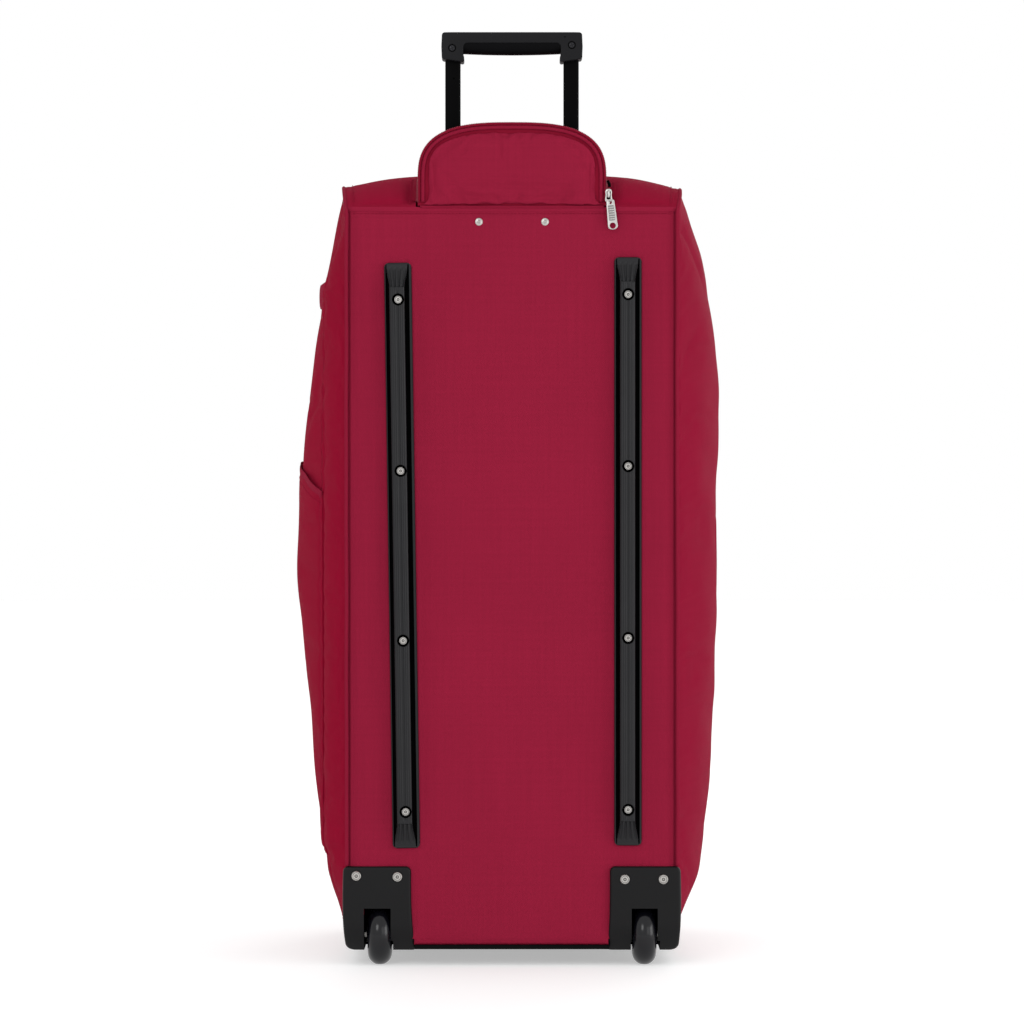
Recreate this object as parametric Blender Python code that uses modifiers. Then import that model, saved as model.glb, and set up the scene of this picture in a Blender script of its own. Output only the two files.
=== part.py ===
"""Rolling duffel bag, standing on its two wheels and a front foot bar.

Frame: metres, +Z up, origin on the floor under the middle of the bag. The back panel, with the skids and the
wheels, faces -Y; the lid faces +Y. "Left" is -X, as seen from behind.
"""
import math

import bmesh
import bpy
from mathutils import Matrix, Vector

# ---------------------------------------------------------------- driving dimensions (metres)
GAP = 0.0003            # clearance between pieces that touch
BACK_Y = -0.170         # outer face of the back panel
FRONT_Y = 0.150         # outer face of the front frame
DEPTH = FRONT_Y - BACK_Y
BACK_HALF = 0.163       # half width at the back seams
FRONT_HALF = 0.158      # half width at the front seams
BASE_Z = 0.0205         # lower edge of the fabric
SEAM_Z = 0.745          # top seam of the back panel
TOP_RISE = 0.026        # rise of the top panel at the side seams
TOP_DOME = 0.0165       # extra rise in its middle
FABRIC = 0.0025         # fabric with its foam and lining
BOARD = 0.0020          # stiffener sheet

# How far each side bellies out past the seams at mid depth: (height, belly).
BELLY = {
    -1: ((0.020, 0.007), (0.037, 0.014), (0.078, 0.027), (0.139, 0.034), (0.263, 0.044),
         (0.428, 0.0495), (0.551, 0.0490), (0.695, 0.0265), (0.800, 0.010)),
    1: ((0.020, 0.006), (0.037, 0.0115), (0.078, 0.030), (0.139, 0.039), (0.263, 0.045),
        (0.428, 0.0485), (0.551, 0.0500), (0.695, 0.0370), (0.800, 0.010)),
}

WHEEL_X = 0.1305
WHEEL_R = 0.029
WHEEL_W = 0.022
AXLE_Y = -0.150
AXLE_R = 0.0030
HUB_R = 0.0150
HUB_W = 0.0235

HOUSING = ((0.0945, -0.1740, 0.0165), (0.1662, -0.0950, 0.0973))   # outer block of the right housing
HOUSING_WALL = 0.0034
WELL_HALF = 0.0134      # half width of the slot that the wheel turns in
WELL_WALL = 0.0030
WELL_TOP = 0.0615
WELL_MOUTH_TOP = 0.0555
WELL_FRONT_Y = -0.1180

SKID_Z = (0.117, 0.691)
SKID_HALF = 0.0135
SKID_FLANGE = 0.0020
SKID_RIB = 0.0070
SKID_RIB_HALF = 0.0080
SKID_LEAN = {-1: math.radians(-0.85), 1: 0.0}     # the soft panel lets the left skid lean
SKID_X = {-1: -0.1081, 1: 0.1140}
RIVET_RISE = (-0.2529, -0.0843, 0.0843, 0.2529)     # rivets along a skid, from its middle
RIVET_SINK = 0.0040     # depth of a rivet's recess in the rib

TUBE_X = 0.0584
TUBE_Y = -0.150
TUBE = (0.0070, 0.0050, 0.0010)             # inner tube: half width, half depth, wall
SLEEVE = (0.0086, 0.0066, 0.0012)           # outer tube
TUBE_Z = (0.440, 0.9010)
SLEEVE_Z = (0.265, 0.7160)

GRIP_HALF = 0.0685
SCREW_X, SCREW_Z = 0.0560, 0.9034
GRIP_DEPTH = 0.0115     # half the grip's thickness
GRIP_Z = (0.888, 0.919)
GRIP_END = 0.0200       # width of each end block
GRIP_UNDER = 0.8975     # underside of the bar between them

FLAP_HALF = 0.0925
FLAP_TOP = 0.830
FLAP_Y = (-0.1705, -0.1650)
FLAP_HINGE = (0.0, -0.1722, 0.7455)

LID_HALF = 0.135
LID_Z = (0.075, 0.715)
LID_CORNER = 0.035
LID_DOME = 0.016
LID_THICK = 0.0040
ZIP_GAP = 0.0015

ROUND = 20              # sides of a round piece


# ---------------------------------------------------------------- tools
def clear_scene():
    for old in list(bpy.data.objects):
        bpy.data.objects.remove(old)


def new_collection(name, hidden=False):
    made = bpy.data.collections.new(name)
    bpy.context.scene.collection.children.link(made)
    made.hide_render = hidden
    return made


def material(name, colour, roughness, metallic=0.0):
    made = bpy.data.materials.new(name)
    made.use_nodes = True
    shader = made.node_tree.nodes["Principled BSDF"]
    shader.inputs["Base Color"].default_value = (*colour, 1.0)
    shader.inputs["Roughness"].default_value = roughness
    shader.inputs["Metallic"].default_value = metallic
    made.diffuse_color = (*colour, 1.0)
    return made


def place(name, bm, look, smooth_under=None):
    """The bmesh as an object; a piece with no material is a cutter."""
    bmesh.ops.recalc_face_normals(bm, faces=bm.faces)
    mesh = bpy.data.meshes.new(name)
    bm.to_mesh(mesh)
    bm.free()
    made = bpy.data.objects.new(name, mesh)
    if look is None:
        CUTTERS.objects.link(made)
        made.hide_render = True
        made.display_type = "WIRE"
        return made
    PARTS.objects.link(made)
    mesh.materials.append(look)
    if smooth_under is not None:
        mesh.shade_smooth()
        mesh.set_sharp_from_angle(angle=math.radians(smooth_under))
    return made


def block(name, low, high, look=None, bevel=0.0, segments=2, corners=None):
    """A box between two corners. corners, an axis number, bevels only the edges along that axis."""
    low, high = Vector(low), Vector(high)
    bm = bmesh.new()
    bmesh.ops.create_cube(bm, size=1.0)
    bmesh.ops.transform(bm, matrix=Matrix.LocRotScale((low + high) / 2, None, high - low), verts=bm.verts)
    if bevel:
        edges = list(bm.edges)
        if corners is not None:
            edges = [e for e in edges if abs((e.verts[0].co - e.verts[1].co)[corners]) > 1e-6]
        bmesh.ops.bevel(bm, geom=edges, offset=bevel, segments=segments, profile=0.5, affect="EDGES")
    return place(name, bm, look)


def rod(name, start, end, radius, look=None, sides=ROUND):
    """A cylinder from start to end."""
    start, end = Vector(start), Vector(end)
    along = end - start
    bm = bmesh.new()
    turn = along.to_track_quat("Z", "Y").to_matrix().to_4x4()
    bmesh.ops.create_cone(bm, cap_ends=True, segments=sides, radius1=radius, radius2=radius,
                          depth=along.length, matrix=Matrix.Translation((start + end) / 2) @ turn)
    return place(name, bm, look)


def turned(name, profile, centre, axis, look, sides=ROUND):
    """A closed profile of (radius, height) points spun about the axis through centre."""
    bm = bmesh.new()
    ring = [bm.verts.new((r, 0.0, h)) for r, h in profile]
    edges = [bm.edges.new((a, b)) for a, b in zip(ring, ring[1:] + ring[:1])]
    bmesh.ops.spin(bm, geom=ring + edges, cent=(0, 0, 0), axis=(0, 0, 1), angle=2 * math.pi,
                   steps=sides, use_merge=True)
    bmesh.ops.remove_doubles(bm, verts=bm.verts, dist=1e-6)
    turn = Vector(axis).to_track_quat("Z", "Y").to_matrix().to_4x4()
    bmesh.ops.transform(bm, matrix=Matrix.Translation(centre) @ turn, verts=bm.verts)
    return place(name, bm, look, smooth_under=40)


def sheet(name, outer, thickness, steps, look):
    """A cloth panel whose outer face is outer(u, v), thickened inwards by Solidify."""
    bm = bmesh.new()
    bmesh.ops.create_grid(bm, x_segments=steps[0], y_segments=steps[1], size=0.5)
    for vert in bm.verts:
        vert.co = outer(vert.co.x + 0.5, vert.co.y + 0.5)
    mesh = bpy.data.meshes.new(name)
    bm.to_mesh(mesh)
    bm.free()
    made = bpy.data.objects.new(name, mesh)
    PARTS.objects.link(made)
    mesh.materials.append(look)
    mesh.shade_smooth()
    solid = made.modifiers.new("Solidify", "SOLIDIFY")
    solid.thickness = abs(thickness)
    solid.offset = -math.copysign(1.0, thickness)
    solid.use_even_offset = True
    return made


def padded(name, inner, outer, steps, look):
    """A stuffed panel between two faces, inner(u, v) and outer(u, v)."""
    bm = bmesh.new()
    bmesh.ops.create_grid(bm, x_segments=steps[0], y_segments=steps[1], size=0.5)
    where = [(vert.co.x + 0.5, vert.co.y + 0.5) for vert in bm.verts]
    base = list(bm.verts)
    grown = bmesh.ops.extrude_face_region(bm, geom=list(bm.faces), use_keep_orig=True)
    fresh = [g for g in grown["geom"] if isinstance(g, bmesh.types.BMVert)]
    for vert in fresh:
        vert.co = outer(vert.co.x + 0.5, vert.co.y + 0.5)
    for vert, (u, v) in zip(base, where):
        vert.co = inner(u, v)
    return place(name, bm, look, smooth_under=50)


def pipe(name, points, radius, look, sides=2):
    """A solid tube along a list of points."""
    curve = bpy.data.curves.new(name, "CURVE")
    curve.dimensions = "3D"
    curve.bevel_depth = radius
    curve.bevel_resolution = sides
    curve.use_fill_caps = True
    line = curve.splines.new("POLY")
    line.points.add(len(points) - 1)
    for spot, point in zip(line.points, points):
        spot.co = (*point, 1.0)
    made = bpy.data.objects.new(name, curve)
    PARTS.objects.link(made)
    curve.materials.append(look)
    return made


def prism(name, outline, axis, low, high, look=None):
    """An outline of points extruded from low to high along one axis (0 or 1); the other two hold the outline."""
    bm = bmesh.new()
    corners = [(low, a, b) if axis == 0 else (a, low, b) for a, b in outline]
    face = bm.faces.new([bm.verts.new(c) for c in corners])
    grown = bmesh.ops.extrude_face_region(bm, geom=[face], use_keep_orig=True)
    shift = [0.0, 0.0, 0.0]
    shift[axis] = high - low
    fresh = [g for g in grown["geom"] if isinstance(g, bmesh.types.BMVert)]
    bmesh.ops.translate(bm, vec=shift, verts=fresh)
    return place(name, bm, look)


def boolean(piece, other, operation="DIFFERENCE"):
    step = piece.modifiers.new(operation.title(), "BOOLEAN")
    step.operation = operation
    step.object = other
    return piece


def cut(piece, *others):
    for other in others:
        boolean(piece, other)
    return piece


def join(piece, *others):
    for other in others:
        boolean(piece, other, "UNION")
    return piece


def pivot(name, where):
    """An empty on a joint's axis, to parent the moving pieces to."""
    made = bpy.data.objects.new(name, None)
    made.empty_display_size = 0.02
    made.location = where
    PARTS.objects.link(made)
    return made


def hang(parent, *pieces):
    for piece in pieces:
        piece.parent = parent
        piece.matrix_parent_inverse = Matrix.Translation(parent.location).inverted()


def smooth_through(points, at):
    """A smooth curve through (x, y) points, read at x."""
    at = min(max(at, points[0][0]), points[-1][0])
    i = next(k for k in range(len(points) - 1) if at <= points[k + 1][0])
    (x0, y0), (x1, y1) = points[i], points[i + 1]

    def slope(k):
        a, b = points[max(k - 1, 0)], points[min(k + 1, len(points) - 1)]
        return (b[1] - a[1]) / (b[0] - a[0])

    t, span = (at - x0) / (x1 - x0), x1 - x0
    return ((2 * t ** 3 - 3 * t ** 2 + 1) * y0 + (t ** 3 - 2 * t ** 2 + t) * span * slope(i)
            + (3 * t ** 2 - 2 * t ** 3) * y1 + (t ** 3 - t ** 2) * span * slope(i + 1))


def rounded_box(half_x, low_z, high_z, radius, steps=6):
    """The outline, in X and Z, of a box with round corners."""
    outline = []
    for turn, (cx, cz) in enumerate(((half_x - radius, high_z - radius), (radius - half_x, high_z - radius),
                                     (radius - half_x, low_z + radius), (half_x - radius, low_z + radius))):
        for k in range(steps + 1):
            angle = math.pi / 2 * (turn + k / steps)
            outline.append((cx + radius * math.cos(angle), cz + radius * math.sin(angle)))
    return outline


# ---------------------------------------------------------------- shape of the bag
def side_x(side, s, z):
    """Distance from the middle to a side's outer face, at depth s (0 back seam, 1 front seam) and height z."""
    seam = BACK_HALF + (FRONT_HALF - BACK_HALF) * s
    return seam + smooth_through(BELLY[side], z) * (1 - abs(1 - 2 * s) ** 2.2)


DOME_HALF, GUSSET_HALF, PANEL_HALF = 0.174, 0.172, 0.166      # across the top: the dome, the gussets, the panel


def depth_of(y):
    return (y - BACK_Y) / DEPTH


def top_z(x, s):
    """Height of the top panel: steep at the back seam, domed in the middle."""
    across = 1 - min(1.0, abs(x) / DOME_HALF) ** 3
    return SEAM_Z + (TOP_RISE + TOP_DOME * across) * (1 - abs(1 - 2 * s) ** 5)


def make_gusset(side, name):
    def outer(u, v):
        s = 0.5 - 0.5 * math.cos(math.pi * u)
        high = top_z(GUSSET_HALF, s) - 0.0036 - 0.0040 * abs(1 - 2 * s) ** 4
        z = BASE_Z + (high - BASE_Z) * v
        return side * side_x(side, s, z), BACK_Y + DEPTH * s, z

    return sheet(name, outer, side * FABRIC, (10, 14), RED)


def make_top_panel():
    def outer(u, v):
        s = 0.5 - 0.5 * math.cos(math.pi * v)
        half = side_x(1, s, top_z(PANEL_HALF, s)) - 0.0002
        x = half * (2 * u - 1)
        return x, BACK_Y + 0.0003 + (DEPTH - 0.0006) * s, top_z(x, s)

    panel = sheet("top_panel", outer, FABRIC, (12, 10), RED)
    return cut(panel, flat_cutter("cut_hatch", hatch_outline(), 0.70, 0.85))


def hatch_outline(steps=10):
    """The U of the handle hatch, in X and Y, open at the back."""
    half, far, straight = FLAP_HALF + 0.002, -0.086, -0.135
    outline = [(half, BACK_Y - 0.02), (half, straight)]
    for k in range(1, steps):
        angle = math.pi / 2 * k / steps
        outline.append((half * math.cos(angle) ** 0.8, straight + (far - straight) * math.sin(angle) ** 0.8))
    outline.append((0.0, far))
    return outline + [(-x, y) for x, y in reversed(outline[:-1])]


def flat_cutter(name, outline, low, high):
    """An outline in X and Y, extruded upwards."""
    bm = bmesh.new()
    face = bm.faces.new([bm.verts.new((x, y, low)) for x, y in outline])
    grown = bmesh.ops.extrude_face_region(bm, geom=[face], use_keep_orig=True)
    fresh = [g for g in grown["geom"] if isinstance(g, bmesh.types.BMVert)]
    bmesh.ops.translate(bm, vec=(0, 0, high - low), verts=fresh)
    return place(name, bm, None)


# ---------------------------------------------------------------- fabric body
def make_body(rivet_holes, wells):
    half = BACK_HALF - FABRIC - GAP
    back = block("back_panel", (-half, BACK_Y, BASE_Z), (half, BACK_Y + FABRIC, SEAM_Z - 0.0025), RED)
    cut(back, rivet_holes, *wells)
    board_y = BACK_Y + FABRIC + GAP
    board = block("back_board", (-half + 0.006, board_y, 0.070), (half - 0.006, board_y + BOARD, 0.742), GREY)
    cut(board, rivet_holes, *wells)
    for side, name in SIDES:
        gusset = make_gusset(side, f"side_gusset_{name}")
        cut(gusset, block(f"cut_corner_{name}", *mirrored(grown_box(HOUSING, GAP), side)))
        make_piping(side, name)
    make_top_panel()
    base = block("base_board", (-0.1590, BACK_Y - 0.0015, 0.0165), (0.1590, FRONT_Y - 0.004, BASE_Z - GAP),
                 BLACK, bevel=0.020, segments=4, corners=2)
    cut(base, *[block(f"cut_base_{name}", *mirrored(((0.0942, -0.2, 0.0), (0.2, -0.0947, 0.03)), side))
                for side, name in SIDES])
    block("foot_bar", (-0.105, 0.098, 0.0), (0.105, 0.128, 0.0165 - GAP), BLACK, bevel=0.004, corners=2)
    make_front()
    make_side_pocket()
    make_grab_handle()


def make_piping(side, name):
    """Piping up the back seam and on over the top edge."""
    x, y, radius = BACK_HALF + 0.0002, BACK_Y - 0.0028, 0.0022
    up = [(side * x, y, 0.0990 + (0.745 - 0.0990) * k / 8) for k in range(9)]
    over = []
    for k in range(1, 15):
        s = 0.5 - 0.5 * math.cos(math.pi * (0.06 + 0.90 * k / 14))
        edge = side_x(side, s, top_z(0.166, s))
        over.append((side * (edge - 0.0006), BACK_Y + DEPTH * s - 0.001 * (1 - s), top_z(edge, s) + 0.0035))
    corner = [(side * (x + 0.0002), y + 0.0005, 0.7560), (side * (x + 0.0010), y + 0.0045, 0.7640)]
    pipe(f"piping_{name}", up + corner + over, radius, RED_PIPING, sides=2)


def make_front():
    half = FRONT_HALF - FABRIC - GAP
    frame = block("front_frame", (-half, FRONT_Y - FABRIC, BASE_Z), (half, FRONT_Y, SEAM_Z - 0.0035), RED)
    mouth = rounded_box(LID_HALF + ZIP_GAP, LID_Z[0] - ZIP_GAP, LID_Z[1] + ZIP_GAP, LID_CORNER + ZIP_GAP)
    cut(frame, prism("cut_mouth", mouth, 1, FRONT_Y - 0.02, FRONT_Y + 0.02))


def lid_y(x, z):
    """Outer face of the lid, domed a little."""
    across = max(0.0, 1 - (x / LID_HALF) ** 2)
    along = max(0.0, 1 - ((z - sum(LID_Z) / 2) / ((LID_Z[1] - LID_Z[0]) / 2)) ** 4)
    return FRONT_Y + LID_DOME * across * along


def make_lid():
    def outer(u, v):
        x = LID_HALF * 1.02 * (2 * u - 1)
        z = LID_Z[0] - 0.003 + (LID_Z[1] - LID_Z[0] + 0.006) * v
        return x, lid_y(x, z), z

    lid = sheet("lid_panel", outer, -LID_THICK, (6, 8), RED)
    shape = prism("trim_lid", rounded_box(LID_HALF, LID_Z[0], LID_Z[1], LID_CORNER), 1, 0.10, 0.20)
    boolean(lid, shape, "INTERSECT")

    def pocket_face(lift):
        def face(u, v):
            x, z = 0.108 * (2 * u - 1), 0.105 + 0.350 * v
            edge = (math.sin(math.pi * u) * math.sin(math.pi * v)) ** 0.35 if 0 < u < 1 and 0 < v < 1 else 0.0
            return x, lid_y(x, z) + 0.0012 + (0.003 + 0.009 * edge if lift else 0.0), z
        return face

    pocket = padded("front_pocket", pocket_face(False), pocket_face(True), (8, 8), RED)
    hang(pivot("lid_hinge", (-LID_HALF - 0.0008, FRONT_Y + 0.0005, 0.395)), lid, pocket)


def pocket_top(s):
    """Height of the side pocket's mouth, which sweeps up towards the front."""
    return 0.470 + 0.029 * math.sin(math.pi / 2 * min(1.0, (s - 0.11) / 0.42))


def make_side_pocket():
    """A slip pocket on the left side, behind the middle."""
    def face(lift):
        def point(u, v):
            s = 0.11 + 0.50 * u
            z = 0.105 + (pocket_top(s) - 0.105) * v
            puff = 0.0045 * (math.sin(math.pi * min(max(u, 0), 1)) * math.sin(math.pi * 0.85 * v)) if lift else 0.0
            skin = 0.0030 if lift else 0.0
            return -side_x(-1, s, z) - 0.0008 - skin - max(puff, 0.0), BACK_Y + DEPTH * s, z
        return point

    padded("side_pocket", face(False), face(True), (8, 10), RED)


def make_grab_handle():
    """A short strap handle on the left side, its two ends sewn down and its middle bowed out."""
    ends, z = (0.016, 0.140), 0.672

    def outer(u, v):
        y = ends[0] + (ends[1] - ends[0]) * u
        rise = z + 0.017 * (2 * v - 1)
        lift = 0.0070 + 0.0085 * math.sin(math.pi * min(max((u - 0.14) / 0.72, 0), 1)) ** 1.2
        return -side_x(-1, depth_of(y), z) - lift, y, rise

    sheet("side_grab_handle", outer, -0.0028, (16, 3), RED)


# ---------------------------------------------------------------- skids, housings, wheels
def grown_box(box, by):
    low, high = box
    return tuple(c - by for c in low), tuple(c + by for c in high)


def mirrored(box, side):
    """The box on the right (+1), or its mirror image on the left (-1)."""
    low, high = box
    if side > 0:
        return low, high
    return (-high[0], low[1], low[2]), (-low[0], high[1], high[2])


def skid_turn(side):
    centre = Vector((SKID_X[side], 0.0, sum(SKID_Z) / 2))
    return Matrix.Translation(centre) @ Matrix.Rotation(SKID_LEAN[side], 4, "Y")


def rivet_spots():
    """(name, x, z, y of the head's seat) of every rivet in the back."""
    spots = []
    for side, name in SIDES:
        for k, rise in enumerate(RIVET_RISE):
            where = skid_turn(side) @ Vector((0, 0, rise))
            seat = BACK_Y - GAP - SKID_FLANGE - SKID_RIB + RIVET_SINK
            spots.append((f"skid_rivet_{name}_{k + 1}", where.x, where.z, seat, 0.0038))
        for k, x in enumerate((0.1120, 0.1500)):
            spots.append((f"housing_rivet_{name}_{k + 1}", side * x, 0.0880, HOUSING[0][1], 0.0048))
        spots.append((f"bezel_rivet_{name}", side * 0.0325, 0.7312, BACK_Y, 0.0045))
    return spots


def make_rivet_holes():
    """All the rivet holes of the back as one cutter."""
    bm = bmesh.new()
    for _, x, z, _, _ in rivet_spots():
        turn = Matrix.Translation((x, -0.165, z)) @ Matrix.Rotation(math.pi / 2, 4, "X")
        bmesh.ops.create_cone(bm, cap_ends=True, segments=8, radius1=0.0022, radius2=0.0022,
                              depth=0.05, matrix=turn)
    return place("cut_rivet_holes", bm, None)


def make_rivets():
    for name, x, z, seat, radius in rivet_spots():
        dome = [(radius * math.cos(a), radius * 0.42 * math.sin(a))
                for a in (k * math.pi / 5 for k in range(2))]
        dimple = [(radius * 0.34, radius * 0.40), (radius * 0.22, radius * 0.24), (0.0, radius * 0.24)]
        length = seat - GAP + 0.1645 if "bezel" not in name else seat - GAP + 0.1618
        profile = [(0.0, length), (0.0018, length), (0.0018, 0.0)] + dome + dimple
        turned(name, profile, (x, seat - GAP, z), (0, -1, 0), STEEL, sides=12)


def make_skid(side, name, rivet_holes):
    low, high = -(SKID_Z[1] - SKID_Z[0]) / 2, (SKID_Z[1] - SKID_Z[0]) / 2
    back = BACK_Y - GAP
    flange = block(f"skid_{name}", (-SKID_HALF, back - SKID_FLANGE, low), (SKID_HALF, back, high),
                   BLACK, bevel=0.005, segments=3, corners=1)
    top = back - SKID_FLANGE - SKID_RIB
    end, slope = 0.006, 0.024
    profile = [(back - 0.001, low + end), (back - SKID_FLANGE, low + end), (top, low + slope + 0.003),
               (top, high - slope - 0.003), (back - SKID_FLANGE, high - end), (back - 0.001, high - end)]
    rib = prism(f"rib_{name}", profile, 0, -SKID_RIB_HALF, SKID_RIB_HALF)
    for vert in rib.data.vertices:
        if vert.co.y > top + 0.001:
            vert.co.x *= 1.18
    join(flange, rib)
    recesses = bmesh.new()
    for rise in RIVET_RISE:
        turn = Matrix.Translation((0, top - 0.01 + RIVET_SINK, rise)) @ Matrix.Rotation(math.pi / 2, 4, "X")
        bmesh.ops.create_cone(recesses, cap_ends=True, segments=12, radius1=0.0048, radius2=0.0048,
                              depth=0.02, matrix=turn)
    recess = place(f"cut_recess_{name}", recesses, None)
    cut(flange, recess)
    for piece in (flange, rib, recess):
        piece.matrix_world = skid_turn(side)
    cut(flange, rivet_holes)


def well_box(side, grow=0.0):
    half = WELL_HALF + WELL_WALL
    return mirrored(grown_box(((WHEEL_X - half, -0.1735, 0.0170),
                               (WHEEL_X + half, WELL_FRONT_Y + WELL_WALL, WELL_TOP + WELL_WALL)), grow), side)


def make_housing(side, name, rivet_holes):
    """A corner cap with a back, a side and a bottom wall, and the wheel's well inside it."""
    (x0, y0, z0), (x1, y1, z1) = HOUSING
    cap = block(f"wheel_housing_{name}", *mirrored(HOUSING, side), BLACK, bevel=0.0045, segments=3)
    inside = mirrored(((x0 - 0.02, y0 + HOUSING_WALL, z0 + HOUSING_WALL),
                       (x1 - HOUSING_WALL, y1 + 0.02, z1 + 0.02)), side)
    cut(cap, block(f"cut_inside_{name}", *inside))
    join(cap, block(f"well_{name}", *well_box(side)))
    slot = ((WHEEL_X - WELL_HALF, -0.1695, -0.01), (WHEEL_X + WELL_HALF, WELL_FRONT_Y, WELL_TOP))
    mouth = ((WHEEL_X - WELL_HALF, -0.20, -0.01), (WHEEL_X + WELL_HALF, -0.165, WELL_MOUTH_TOP))
    cut(cap, block(f"cut_slot_{name}", *mirrored(slot, side)),
        block(f"cut_slot_mouth_{name}", *mirrored(mouth, side)))
    reach = WELL_HALF + WELL_WALL
    hole = rod(f"cut_axle_{name}", (side * WHEEL_X - reach - 0.002, AXLE_Y, WHEEL_R),
               (side * WHEEL_X + reach + 0.002, AXLE_Y, WHEEL_R), AXLE_R + 0.0002)
    cut(cap, hole, rivet_holes)
    rod(f"axle_{name}", (side * WHEEL_X - reach, AXLE_Y, WHEEL_R),
        (side * WHEEL_X + reach, AXLE_Y, WHEEL_R), AXLE_R, STEEL)


def make_wheel(side, name):
    centre = (side * WHEEL_X, AXLE_Y, WHEEL_R)
    half = WHEEL_W / 2
    crown = [(HUB_R + GAP + (WHEEL_R - HUB_R - GAP) * math.cos(a) ** 0.8, half * math.sin(a))
             for a in (math.pi * (k / 6 - 0.5) for k in range(1, 6))]
    tyre = turned(f"tyre_{name}", [(HUB_R + GAP, -half * 0.8)] + crown + [(HUB_R + GAP, half * 0.8)],
                  centre, (1, 0, 0), RUBBER)
    bore, boss, web = AXLE_R + 0.0004, 0.0055, half * 0.55
    profile = [(bore, -HUB_W / 2), (boss, -HUB_W / 2), (boss, -web), (HUB_R, -web)]
    hub = turned(f"hub_{name}", profile + [(r, -h) for r, h in reversed(profile)], centre, (1, 0, 0), BLACK)
    hang(pivot(f"wheel_spin_{name}", centre), tyre, hub)


# ---------------------------------------------------------------- trolley
def tube_block(name, x, size, z, look=None, shrink=0.0):
    half_x, half_y, _ = size
    return block(name, (x - half_x + shrink, TUBE_Y - half_y + shrink, z[0]),
                 (x + half_x - shrink, TUBE_Y + half_y - shrink, z[1]), look,
                 bevel=min(half_x, half_y) * 0.55 - shrink * 0.5, segments=3, corners=2)


def make_tube(name, side, size, z):
    tube = tube_block(name, side * TUBE_X, size, z, BLACK_TUBE)
    bore = tube_block(f"cut_{name}", side * TUBE_X, size, (z[0] - 0.01, z[1] + 0.01), shrink=size[2])
    return cut(tube, bore)


def make_trolley_fixed(rivet_holes):
    bezel = block("trolley_bezel", (-0.074, -0.1645, 0.700), (0.074, -0.138, 0.722), BLACK, bevel=0.003,
                  corners=2)
    join(bezel, block("bezel_flange", (-0.050, -0.1645, 0.712), (0.050, -0.1622, 0.742)))
    bracket = block("trolley_bracket", (-0.074, -0.1645, 0.250), (0.074, -0.138, 0.275), BLACK, bevel=0.003,
                    corners=2)
    for side, name in SIDES:
        x = side * TUBE_X
        cut(bezel, tube_block(f"cut_pass_{name}", x, TUBE, (0.69, 0.75), shrink=-0.0004),
            tube_block(f"cut_seat_{name}", x, SLEEVE, (0.69, SLEEVE_Z[1] + GAP), shrink=-GAP))
        cut(bracket, tube_block(f"cut_foot_{name}", x, SLEEVE, (SLEEVE_Z[0] - GAP, 0.30), shrink=-GAP))
        make_tube(f"outer_tube_{name}", side, SLEEVE, SLEEVE_Z)
    cut(bezel, rivet_holes)


def make_well():
    """The fabric pocket that the grip drops into, under the hatch."""
    low, high = (-0.0950, -0.1645, 0.6960), (0.0950, -0.0860, 0.7420)
    well = block("handle_well", low, high, LINING)
    inner = block("cut_well", (low[0] + 0.0015, low[1] - 0.01, low[2] + 0.0015),
                  (high[0] - 0.0015, high[1] - 0.0015, high[2] + 0.02))
    cut(well, inner)
    for side, name in SIDES:
        cut(well, tube_block(f"cut_well_{name}", side * TUBE_X, SLEEVE, (0.69, 0.71), shrink=-0.0010))


def grip_outline():
    """Grip seen from behind: two end blocks and a bar with a bowed underside."""
    inner = GRIP_HALF - GRIP_END
    outline = [(-GRIP_HALF, GRIP_Z[1]), (-GRIP_HALF, GRIP_Z[0]), (-inner - 0.002, GRIP_Z[0]), (-inner, 0.8900),
               (-inner, 0.8960)]
    steps = 10
    for k in range(steps + 1):
        t = k / steps
        bow = 0.0025 * math.sin(math.pi * t)
        outline.append((-inner + 0.003 + (2 * inner - 0.006) * t, GRIP_UNDER + 0.001 - bow))
    return outline + [(-x, z) for x, z in reversed(outline[:5])]


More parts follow.
